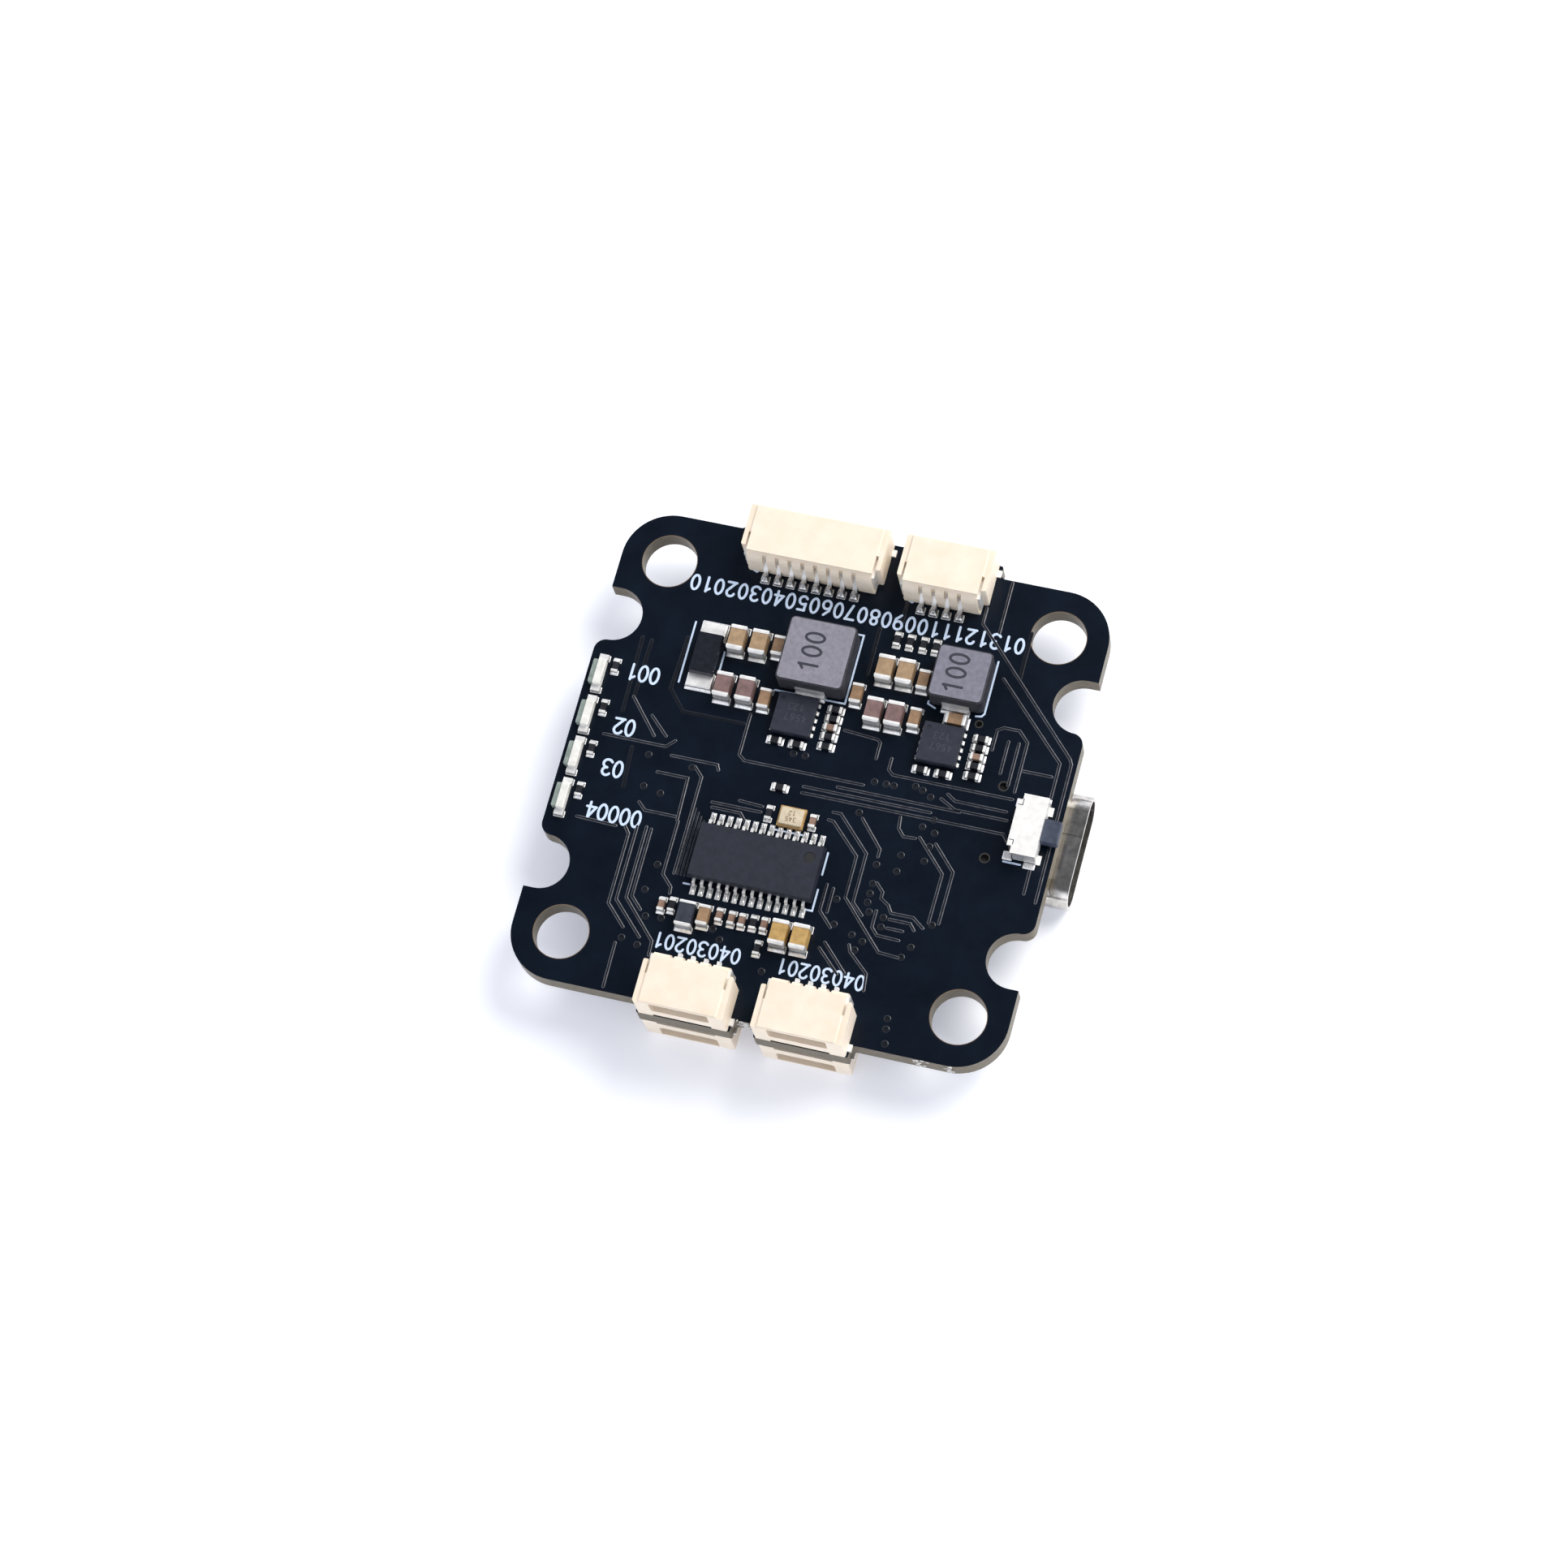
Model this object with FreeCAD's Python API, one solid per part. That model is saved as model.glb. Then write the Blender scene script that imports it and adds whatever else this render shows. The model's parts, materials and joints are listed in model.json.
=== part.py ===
"""Flight controller board for a small multirotor, in millimetres.

Frame: the origin is the centre of the four mounting holes, on the underside
of the laminate. +Z points out of the component side, +X towards the edge with
the USB port and the boot button, +Y towards the edge with the 8-pin socket.
"""
import FreeCAD, Part
import math
import os

from FreeCAD import Placement, Rotation, Vector

os.makedirs("parts", exist_ok=True)

# ---- Laminate -------------------------------------------------------------
BOARD_T = 1.6
HOLE_SPACING = 30.5
HOLE_R = 2.1
CORNER_R = 3.8
HALF_X = HOLE_SPACING / 2 + CORNER_R
HALF_Y = HALF_X
TAB_OUT = 1.0
TAB_INNER_R = 0.4
TAB_OUTER_R = 0.15
TOP_TAB_X = (-10.2, 9.8)
LOWER_TAB_X = (-4.5, 4.5)
LOWER_TAB_HALF = 3.6125
NOTCH_Y = 10.2
NOTCH_R = 2.15
NOTCH_DEPTH = 2.95
NOTCH_LIP_R = 0.9
TEST_VIA = (11.1, 7.3)
TEST_VIA_R = 0.25

# ---- Side-entry wire sockets, 1.0 mm pitch ----------------------------------
PITCH = 1.0
SOCKET_H = 2.95
SOCKET_DEPTH = 4.2
SOCKET_REAR_Y = 15.85
SOCKET_EDGE = 0.08
# The rear part ends this far past the outer pins; the front part is wider.
SOCKET_END_MARGIN = 1.5
WING_W = 0.45
WING_Y = 0.85
WING_DROP = 0.15
# Toothed step behind the top plate, as (depth, height) points.
LEDGE_PROFILE = [(0.45, 2.65), (0.22, 2.5), (0.08, 2.27), (0.0, 1.95)]
TOOTH_GAP_W = 0.32
TOOTH_GAP_DEPTH = 0.36
# Mouth in the front face, and the relief under its lip.
MOUTH_END_MARGIN = 0.75
MOUTH_FLOOR = 1.2
MOUTH_TOP = 2.7
MOUTH_DEPTH = 3.0
MOUTH_CORNER_R = 0.3
RELIEF_H = 0.3
RELIEF_DEPTH = 1.0
# Contacts: flat foot, sloped leg, riser and blade.
CONTACT_W = 0.32
CONTACT_T = 0.18
CONTACT_FOOT_TIP = -0.85
CONTACT_HEEL = -0.5
CONTACT_RISER_Y = 0.3
CONTACT_KNEE_Z = 1.3
CONTACT_BLADE_Z = 1.78
CONTACT_BLADE_END = 3.7
CONTACT_POINT = 0.2
# Solder tabs in the side walls.
TAB_T = 0.2
TAB_BLADE = (0.25, 1.95)
TAB_BLADE_Z = (0.4, 2.45)
TAB_STRUT = (1.75, 3.75)
TAB_STRUT_H = 0.6
TAB_FOOT = (3.2, 3.75)
TAB_FOOT_OUT = 0.33

# Name, pin count, centre along the edge, edge (+1 is +Y), side (+1 is top).
SOCKETS = [
    ("motor_signal", 8, -4.15, 1, 1),
    ("serial", 4, 6.05, 1, 1),
    ("camera", 4, -4.5, -1, 1),
    ("video_link", 4, 4.5, -1, 1),
    ("receiver", 4, -4.5, -1, -1),
    ("position_sensor", 4, 4.5, -1, -1),
]

# ---- USB-C receptacle, under the right-hand edge ---------------------------
USB_FRONT_X = 20.5
USB_LENGTH = 7.3
USB_W = 8.94
USB_H = 3.2
USB_WALL = 0.3
USB_SEAM_Y = 0.77
USB_SEAM_W = 0.08
USB_SEAM_DEPTH = 0.1
USB_FOOT_X = (14.4, 17.9)
USB_FOOT_L = 1.1
USB_FOOT_IN = 1.2
USB_FOOT_OUT = 0.45
USB_BLOCK_L = 2.2
USB_TONGUE_W = 6.7
USB_TONGUE_T = 0.7
USB_TONGUE_FRONT = 19.7
USB_TONGUE_EDGE = 0.15
USB_PEG_X = 14.1
USB_PEG_Y = 2.89
USB_PEG_R = 0.3
USB_PEG_HOLE_R = 0.33
USB_PEG_TOP_GAP = 0.35
USB_PIN_PITCH = 0.8
USB_PIN_STAGGER = 0.2
USB_PIN_W = 0.25
USB_PIN_T = 0.08
USB_PIN_SETBACK = 0.3
USB_PINS_PER_ROW = 8
USB_RISER_X = 0.14
USB_RISER_T = 0.12
USB_TAIL_L = 0.55

# ---- Boot push-switch -------------------------------------------------------
SW_X = (15.7, 17.95)
SW_Y = (-2.62, 2.12)
SW_MID_Y = (SW_Y[0] + SW_Y[1]) / 2
SW_H = 1.64
SW_SHEET = 0.12
SW_NOTCH = (0.35, 0.55)
SW_FRONT_LIFT = 0.15
SW_SIDE_LIFT = 0.25
SW_SIDE_SETBACK = 0.5
SW_FOOT_OUT = 0.28
SW_FEET_Y = ((-2.62, -1.9), (1.25, 1.95))
SW_BASE_GAP = 0.02
SW_BASE_X_GAP = 0.05
SW_TERMINAL_T = 0.15
SW_REAR_TERMINAL = (-0.25, 0.3)
SW_REAR_TERMINAL_Y = (0.02, 0.5)
SW_SIDE_TERMINAL = (-0.85, -0.15)
SW_SIDE_TERMINAL_OUT = 0.36
PLUNGER_W = 1.75
PLUNGER_H = 0.85
PLUNGER_Z = 0.4
PLUNGER_FRONT_X = 19.26
PLUNGER_BACK_X = 17.2
PLUNGER_EDGE_R = 0.12
PLUNGER_COLLAR = 0.3
PLUNGER_COLLAR_L = 0.58
PLUNGER_NUB = 0.12
PLUNGER_NUB_R = 0.35
PLUNGER_GAP = 0.05
BUTTON_TRAVEL = 0.25
DOME_W = 2.3
DOME_T = 0.08
DOME_RISE = 0.4
DOME_CLEARANCE = 0.03
DOME_END_GAP = 0.1
DOME_CROWN_X = PLUNGER_BACK_X - PLUNGER_NUB - BUTTON_TRAVEL - DOME_CLEARANCE
DOME_BACK_X = DOME_CROWN_X - DOME_RISE

# ---- Moulded inductors ------------------------------------------------------
# Name, centre x and y, side, height, terminal width.
INDUCTORS = [
    ("large_inductor", -1.87, 9.57, 5.2, 2.1, 2.3),
    ("small_inductor", 9.13, 10.2, 4.2, 2.0, 2.1),
]
INDUCTOR_LIFT = 0.08
INDUCTOR_CORNER_R = 0.4
INDUCTOR_EDGE = 0.12
# Coil space as shares of the side and height, and the gap round the coil.
COIL_OUTER = 0.38
COIL_INNER = 0.17
COIL_HALF_H = 0.28
COIL_RAISE = 0.1
COIL_GAP = 0.05
TERMINAL_PROUD = 0.06
TERMINAL_FOOT_OUT = 0.3
TERMINAL_SUNK = 0.12
TERMINAL_UNDER = 0.9
TERMINAL_T = 0.15
TERMINAL_RISE = 0.45

# ---- Chips ------------------------------------------------------------------
# Leaded bodies: length, width, underside, top. Leads: body edge, tip, foot
# length, height at the body, width, thickness. Rows: leads per side, pitch.
CHIP_DRAFT = 0.12
DOT_DEPTH = 0.06
DISPLAY_AT = (-2.25, -7.05, BOARD_T)
DISPLAY_BODY = (9.7, 4.4, 0.1, 1.1)
DISPLAY_LEAD = (2.2, 3.2, 0.6, 0.5, 0.22, 0.13)
DISPLAY_ROW = (14, 0.65)
DISPLAY_DOT = (3.87, 1.07, 0.42)
PROCESSOR_AT = (-2.0, 0.5)
PROCESSOR_BODY = (10.0, 10.0, 0.1, 1.5)
PROCESSOR_LEAD = (5.0, 6.0, 0.55, 0.65, 0.22, 0.13)
PROCESSOR_ROW = (16, 0.5)
PROCESSOR_DOT = (-3.9, 3.9, 0.5)
REGULATOR_AT = (8.0, 10.5)
REGULATOR_BODY = (2.9, 1.6, 0.05, 1.15)
REGULATOR_LEAD = (0.8, 1.4, 0.4, 0.5, 0.4, 0.12)
REGULATOR_ROW = (3, 0.95)
# Leadless bodies: length, width, height. Pads: count, pitch, width.
FLAT_LIFT = 0.02
FLAT_CORNER_R = 0.08
FLAT_EDGE = 0.04
FLAT_PAD_IN = 0.35
FLAT_PAD_OUT = 0.03
FLAT_PAD_H = 0.2
BUCK_CHIPS = [(-2.53, 4.93), (8.75, 4.95)]
BUCK_BODY = (3.05, 3.1, 0.75)
BUCK_PADS = (5, 0.6, 0.3)
BUCK_DOT = (-1.1, 1.1, 0.16)
MEMORY_AT = (8.6, -7.0)
MEMORY_BODY = (6.0, 5.0, 0.8)
MEMORY_PADS = (4, 1.27, 0.4)
GYRO_AT = (-2.0, 11.5)
GYRO_BODY = (2.5, 3.0, 0.9)
GYRO_DOT = (-0.9, 1.1, 0.15)
BAROMETER_AT = (-11.5, 6.5)
BAROMETER_BASE = (2.0, 2.5, 0.25)
BAROMETER_LID = (1.9, 2.4, 0.95)
BAROMETER_LID_WALL = 0.15
BAROMETER_LID_R = 0.2
BAROMETER_LID_EDGE = 0.08
BAROMETER_VENT = (0.5, 0.75, 0.15)
CRYSTAL_TOP_AT = (-0.68, -2.95, BOARD_T)
CRYSTAL_UNDER_AT = (-11.2, -1.5, 90)
CRYSTAL_BASE = (2.0, 1.6, 0.3)
CRYSTAL_LID = (1.75, 1.35, 0.5)
CRYSTAL_LID_R = 0.12

# ---- Status lights and diode ------------------------------------------------
LED_X = -17.95
LED_Y = (5.2, 1.8, -1.6, -5.0)
LED_RESISTOR_AT = (-16.95, 0.82)
LED_BODY = (0.62, 2.1, 0.72)
LED_BODY_R = 0.1
LED_EDGE = 0.06
LED_LENS = (0.4, 1.9, 0.1, 0.6)
LED_LENS_SUNK = 0.12
LED_LENS_R = 0.12
LED_TERMINAL = (0.72, 1.05, 1.5, 0.4)
DIODE_AT = (-10.35, 8.25)
DIODE_BODY = (1.95, 3.3, 0.05, 0.92)
DIODE_DRAFT = 0.06
DIODE_TERMINAL = (2.0, 1.35, 2.65, 0.4)
DIODE_TERMINAL_R = 0.1


# ---- Basic shapes -----------------------------------------------------------
def block(x0, x1, y0, y1, z0, z1):
    """Plain box between the given planes."""
    return Part.makeBox(x1 - x0, y1 - y0, z1 - z0, Vector(x0, y0, z0))


def centred_block(cx, cy, lx, ly, z0, z1):
    """Box of lx by ly centred on (cx, cy)."""
    return block(cx - lx / 2, cx + lx / 2, cy - ly / 2, cy + ly / 2, z0, z1)


def cylinder(x, y, z0, z1, radius):
    """Upright cylinder."""
    return Part.makeCylinder(radius, z1 - z0, Vector(x, y, z0))


def join(shapes):
    """One solid from touching shapes."""
    first, rest = shapes[0], shapes[1:]
    return first.fuse(rest).removeSplitter() if rest else first


def edges_along(shape, direction):
    """Straight edges parallel to a direction."""
    found = []
    for edge in shape.Edges:
        ends = edge.Vertexes
        if len(ends) == 2:
            run = ends[1].Point.sub(ends[0].Point)
            if run.Length > 0 and abs(run.normalize().dot(direction)) > 0.999:
                found.append(edge)
    return found


def edges_at_height(shape, z):
    """Edges that lie in one horizontal plane."""
    flat = []
    for edge in shape.Edges:
        if abs(edge.BoundBox.ZMin - z) < 1e-6 and abs(edge.BoundBox.ZMax - z) < 1e-6:
            flat.append(edge)
    return flat


def edges_at_x(shape, x):
    """Edges that lie in one plane square to X."""
    flat = []
    for edge in shape.Edges:
        if abs(edge.BoundBox.XMin - x) < 1e-6 and abs(edge.BoundBox.XMax - x) < 1e-6:
            flat.append(edge)
    return flat


def soft_block(cx, cy, lx, ly, z0, z1, corner_r, top_edge):
    """Box with rounded upright corners and a chamfered top rim."""
    solid = centred_block(cx, cy, lx, ly, z0, z1)
    solid = solid.makeFillet(corner_r, edges_along(solid, Vector(0, 0, 1)))
    if top_edge:
        solid = solid.makeChamfer(top_edge, edges_at_height(solid, z1))
    return solid


def rounded_wire(corners):
    """Closed wire through (x, y, radius) corners, each rounded by a tangent arc."""
    spans = []
    count = len(corners)
    for index, (x, y, radius) in enumerate(corners):
        here = Vector(x, y, 0)
        before = Vector(corners[index - 1][0], corners[index - 1][1], 0).sub(here).normalize()
        after_corner = corners[(index + 1) % count]
        after = Vector(after_corner[0], after_corner[1], 0).sub(here).normalize()
        if radius == 0:
            spans.append((here, None, here))
            continue
        half = before.getAngle(after) / 2
        reach = radius / math.tan(half)
        bisector = before.add(after).normalize()
        middle = here.add(bisector * (radius / math.sin(half) - radius))
        spans.append((here.add(before * reach), middle, here.add(after * reach)))
    edges = []
    for index, (start, middle, end) in enumerate(spans):
        if middle is not None:
            edges.append(Part.Arc(start, middle, end).toShape())
        next_start = spans[(index + 1) % count][0]
        if next_start.sub(end).Length > 1e-4:
            edges.append(Part.LineSegment(end, next_start).toShape())
    return Part.Wire(edges)


def prism(corners, z0, z1):
    """Upright prism on a rounded outline."""
    face = Part.Face(rounded_wire(corners))
    face.translate(Vector(0, 0, z0))
    return face.extrude(Vector(0, 0, z1 - z0))


def side_profile(points, width):
    """Solid of a given width across X from a (y, z) outline."""
    vectors = [Vector(-width / 2, y, z) for y, z in points]
    face = Part.Face(Part.makePolygon(vectors + vectors[:1]))
    return face.extrude(Vector(width, 0, 0))


def moved(shape, x, y, z, turn=0):
    """Copy turned about Z, then moved."""
    copy = shape.copy()
    copy.Placement = Placement(Vector(x, y, z), Rotation(Vector(0, 0, 1), turn)).multiply(copy.Placement)
    return copy


def hung_under(shape, x, y, turn=0):
    """Copy turned upside down, fixed to the underside of the laminate at (x, y)."""
    copy = moved(shape, 0, 0, 0, turn)
    flip = Placement(Vector(x, y, 0), Rotation(Vector(1, 0, 0), 180))
    copy.Placement = flip.multiply(copy.Placement)
    return copy


def save(name, *shapes):
    """Write one node; repeated pieces stay separate solids."""
    solids = []
    for shape in shapes:
        solids.extend(shape.Solids)
    result = solids[0] if len(solids) == 1 else Part.makeCompound(solids)
    result.exportStep("parts/%s.step" % name)


# ---- Laminate -------------------------------------------------------------
def board_side():
    """Right-hand edge from bottom to top, with its two side notches."""
    low, high = NOTCH_Y - NOTCH_R, NOTCH_Y + NOTCH_R
    upper = [
        (HALF_X, low, NOTCH_LIP_R),
        (HALF_X - NOTCH_DEPTH, low, NOTCH_R),
        (HALF_X - NOTCH_DEPTH, high, NOTCH_R),
        (HALF_X, high, 0),
        (HALF_X, HALF_Y, CORNER_R),
    ]
    lower = [(x, -y, radius) for x, y, radius in reversed(upper)]
    return lower + upper


def edge_tab(x0, x1, edge_y, out):
    """Tab standing out of a horizontal edge, from x0 to x1."""
    return [
        (x0, edge_y, TAB_INNER_R),
        (x0, edge_y + out, TAB_OUTER_R),
        (x1, edge_y + out, TAB_OUTER_R),
        (x1, edge_y, TAB_INNER_R),
    ]


def make_board():
    """Laminate with mounting holes, side notches and socket tabs."""
    right = board_side()
    left = [(-x, y, radius) for x, y, radius in reversed(right)]
    outline = right + edge_tab(TOP_TAB_X[1], TOP_TAB_X[0], HALF_Y, TAB_OUT) + left
    for centre in LOWER_TAB_X:
        outline += edge_tab(centre - LOWER_TAB_HALF, centre + LOWER_TAB_HALF, -HALF_Y, -TAB_OUT)
    board = prism(outline, 0, BOARD_T)
    drills = [(TEST_VIA[0], TEST_VIA[1], TEST_VIA_R)]
    for side in (-1, 1):
        drills.append((USB_PEG_X, side * USB_PEG_Y, USB_PEG_HOLE_R))
        for end in (-1, 1):
            drills.append((side * HOLE_SPACING / 2, end * HOLE_SPACING / 2, HOLE_R))
    return board.cut([cylinder(x, y, -1, BOARD_T + 1, radius) for x, y, radius in drills])


# ---- Wire sockets -----------------------------------------------------------
def pin_places(pins):
    """Pin centres along the row."""
    return [(index - (pins - 1) / 2) * PITCH for index in range(pins)]


def socket_contact():
    """One contact: foot on the board, sloped leg, riser, and blade into the mouth."""
    blade_top = CONTACT_BLADE_Z + CONTACT_T
    leg_lean = CONTACT_T / 2
    points = [
        (CONTACT_FOOT_TIP, 0),
        (CONTACT_HEEL + leg_lean, 0),
        (CONTACT_RISER_Y + CONTACT_T, CONTACT_KNEE_Z - leg_lean),
        (CONTACT_RISER_Y + CONTACT_T, CONTACT_BLADE_Z),
        (CONTACT_BLADE_END - CONTACT_POINT, CONTACT_BLADE_Z),
        (CONTACT_BLADE_END, CONTACT_BLADE_Z + CONTACT_T / 2),
        (CONTACT_BLADE_END - CONTACT_POINT, blade_top),
        (CONTACT_RISER_Y, blade_top),
        (CONTACT_RISER_Y, CONTACT_KNEE_Z),
        (CONTACT_HEEL, CONTACT_T),
        (CONTACT_FOOT_TIP, CONTACT_T),
    ]
    return side_profile(points, CONTACT_W)


def socket_tab(side, half_rear):
    """Sheet tab: blade in the side-wall slot, strut, and a foot soldered beside it."""
    x = side * half_rear
    x0, x1 = x - TAB_T / 2, x + TAB_T / 2
    blade = block(x0, x1, *TAB_BLADE, *TAB_BLADE_Z)
    strut = block(x0, x1, *TAB_STRUT, 0, TAB_STRUT_H)
    outer = x + side * (WING_W + TAB_FOOT_OUT)
    foot = block(min(x, outer), max(x, outer), *TAB_FOOT, 0, TAB_T)
    return join([blade, strut, foot])


def across_mouth(corners, y0, y1):
    """Bar along Y from rounded (x, z, radius) corners."""
    bar = prism(corners, 0, y1 - y0)
    bar.Placement = Placement(Vector(0, y1, 0), Rotation(Vector(1, 0, 0), 90))
    return bar


def socket_shell(half_rear):
    """Outside of a housing: narrow rear with its step, wider front with low wings."""
    half_front = half_rear + WING_W
    rear = block(-half_rear, half_rear, 0, WING_Y + 1, 0, SOCKET_H)
    front = block(-half_front, half_front, WING_Y, SOCKET_DEPTH, 0, SOCKET_H)
    wing_top = SOCKET_H - WING_DROP
    wings = []
    for side in (-1, 1):
        x0, x1 = sorted((side * half_rear, side * (half_front + 1)))
        wings.append(block(x0, x1, 0, SOCKET_DEPTH + 1, wing_top, SOCKET_H + 1))
    shell = join([rear, front]).cut(wings).removeSplitter()
    rims = edges_along(shell, Vector(0, 0, 1)) + edges_at_height(shell, SOCKET_H)
    return shell.makeChamfer(SOCKET_EDGE, rims)


def socket_housing(pins, contacts, tabs):
    """Moulded housing with an open mouth and a toothed step at the rear."""
    half_rear = (pins - 1) * PITCH / 2 + SOCKET_END_MARGIN
    half_mouth = (pins - 1) * PITCH / 2 + MOUTH_END_MARGIN
    mouth_y = SOCKET_DEPTH - MOUTH_DEPTH
    front_y = SOCKET_DEPTH + 1
    mouth = [
        (-half_mouth, MOUTH_FLOOR, MOUTH_CORNER_R),
        (half_mouth, MOUTH_FLOOR, MOUTH_CORNER_R),
        (half_mouth, MOUTH_TOP, 0),
        (-half_mouth, MOUTH_TOP, 0),
    ]
    step_y, tooth_z = LEDGE_PROFILE[0][0], LEDGE_PROFILE[-1][1]
    ledge = LEDGE_PROFILE + [(-1, tooth_z), (-1, SOCKET_H + 1), (step_y, SOCKET_H + 1)]
    cuts = [
        across_mouth(mouth, mouth_y, front_y),
        block(-half_mouth, half_mouth, SOCKET_DEPTH - RELIEF_DEPTH, front_y, -1, RELIEF_H),
        side_profile(ledge, 2 * half_rear + 1),
    ]
    blade_top = CONTACT_BLADE_Z + CONTACT_T
    riser_end = CONTACT_RISER_Y + CONTACT_T
    for x in pin_places(pins):
        cuts.append(centred_block(x, TOOTH_GAP_DEPTH / 2 - 1, TOOTH_GAP_W, TOOTH_GAP_DEPTH + 2, -1, SOCKET_H))
        cuts.append(centred_block(x, riser_end / 2 - 1, TOOTH_GAP_W, riser_end + 2, -1, blade_top))
    for side in (-1, 1):
        x = side * half_rear
        cuts.append(block(x - TAB_T / 2, x + TAB_T / 2, -1, TAB_BLADE[1], TAB_BLADE_Z[0], SOCKET_H + 1))
    return socket_shell(half_rear).cut(cuts).cut(contacts + tabs)


def make_sockets():
    """Every socket: housing and contacts as nodes, all solder tabs as one node."""
    all_tabs = []
    for name, pins, centre, edge, side in SOCKETS:
        half_rear = (pins - 1) * PITCH / 2 + SOCKET_END_MARGIN
        contacts = [moved(socket_contact(), x, 0, 0) for x in pin_places(pins)]
        tabs = [socket_tab(end, half_rear) for end in (-1, 1)]
        housing = socket_housing(pins, contacts, tabs)

        def place(shape):
            if side < 0:
                return hung_under(shape, centre, edge * SOCKET_REAR_Y)
            return moved(shape, centre, edge * SOCKET_REAR_Y, BOARD_T, 0 if edge > 0 else 180)

        save(name + "_socket_housing", place(housing))
        save(name + "_socket_contacts", *[place(contact) for contact in contacts])
        all_tabs += [place(tab) for tab in tabs]
    save("socket_solder_tabs", *all_tabs)


# ---- USB-C receptacle -------------------------------------------------------
def usb_section(inset, x0, x1):
    """Round-ended bar along X, inset from the shell's outside."""
    half_w = USB_W / 2 - inset
    half_h = USB_H / 2 - inset
    radius = half_h - 0.001
    corners = [
        (-half_w, -half_h, radius),
        (half_w, -half_h, radius),
        (half_w, half_h, radius),
        (-half_w, half_h, radius),
    ]
    bar = prism(corners, 0, x1 - x0)
    bar.Placement = Placement(Vector(x0, 0, -USB_H / 2), Rotation(Vector(1, 1, 1), 120))
    return bar


def usb_pin(face_z, outward, y, back):
    """One contact: strip in a tongue face, riser behind the block, solder tail."""
    low, high = sorted((face_z, face_z - outward * USB_PIN_T))
    y0, y1 = y - USB_PIN_W / 2, y + USB_PIN_W / 2
    riser_x = back - USB_RISER_X
    strip = block(riser_x, USB_TONGUE_FRONT - USB_PIN_SETBACK, y0, y1, low, high)
    riser = block(riser_x, riser_x + USB_RISER_T, y0, y1, low, 0)
    tail = block(riser_x - USB_TAIL_L, riser_x + USB_RISER_T, y0, y1, -USB_RISER_T, 0)
    return join([strip, riser, tail])


def usb_pins(back):
    """Both contact rows, staggered so that their risers pass each other."""
    pins = []
    for index in range(USB_PINS_PER_ROW):
        y = (index - (USB_PINS_PER_ROW - 1) / 2) * USB_PIN_PITCH
        for outward in (-1, 1):
            face_z = -USB_H / 2 + outward * USB_TONGUE_T / 2
            pins.append(usb_pin(face_z, outward, y - outward * USB_PIN_STAGGER, back))
    return pins


def usb_shell(back):
    """Drawn shell with a folded seam on its board side and four soldered feet."""
    inside = usb_section(USB_WALL, back - 1, USB_FRONT_X + 1)
    feet = []
    for side in (-1, 1):
        y0, y1 = sorted((side * (USB_W / 2 - USB_FOOT_IN), side * (USB_W / 2 + USB_FOOT_OUT)))
        for foot_x in USB_FOOT_X:
            feet.append(block(foot_x, foot_x + USB_FOOT_L, y0, y1, -USB_WALL, 0))
    seam = centred_block((back + USB_FRONT_X) / 2, USB_SEAM_Y, USB_LENGTH + 1, USB_SEAM_W, -USB_SEAM_DEPTH, 1)
    return join([usb_section(0, back, USB_FRONT_X)] + feet).cut([inside, seam])


def usb_moulding(back):
    """Block that closes the back of the shell, with its tongue and locating pegs."""
    mid_z = -USB_H / 2
    block_front = back + USB_BLOCK_L
    half_t, half_w = USB_TONGUE_T / 2, USB_TONGUE_W / 2
    tongue = block(back + 1, USB_TONGUE_FRONT, -half_w, half_w, mid_z - half_t, mid_z + half_t)
    tongue = tongue.makeChamfer(USB_TONGUE_EDGE, edges_at_x(tongue, USB_TONGUE_FRONT))
    peg_top = BOARD_T - USB_PEG_TOP_GAP
    pegs = [cylinder(USB_PEG_X, side * USB_PEG_Y, mid_z, peg_top, USB_PEG_R) for side in (-1, 1)]
    return join([usb_section(USB_WALL, back, block_front), tongue] + pegs)


def make_usb():
    """Receptacle: shell, moulding and contacts."""
    back = USB_FRONT_X - USB_LENGTH
    pins = usb_pins(back)
    moulding = usb_moulding(back)
    save("usb_shell", usb_shell(back).cut([moulding] + pins))
    save("usb_moulding", moulding.cut(pins))
    save("usb_contacts", *pins)


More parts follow.
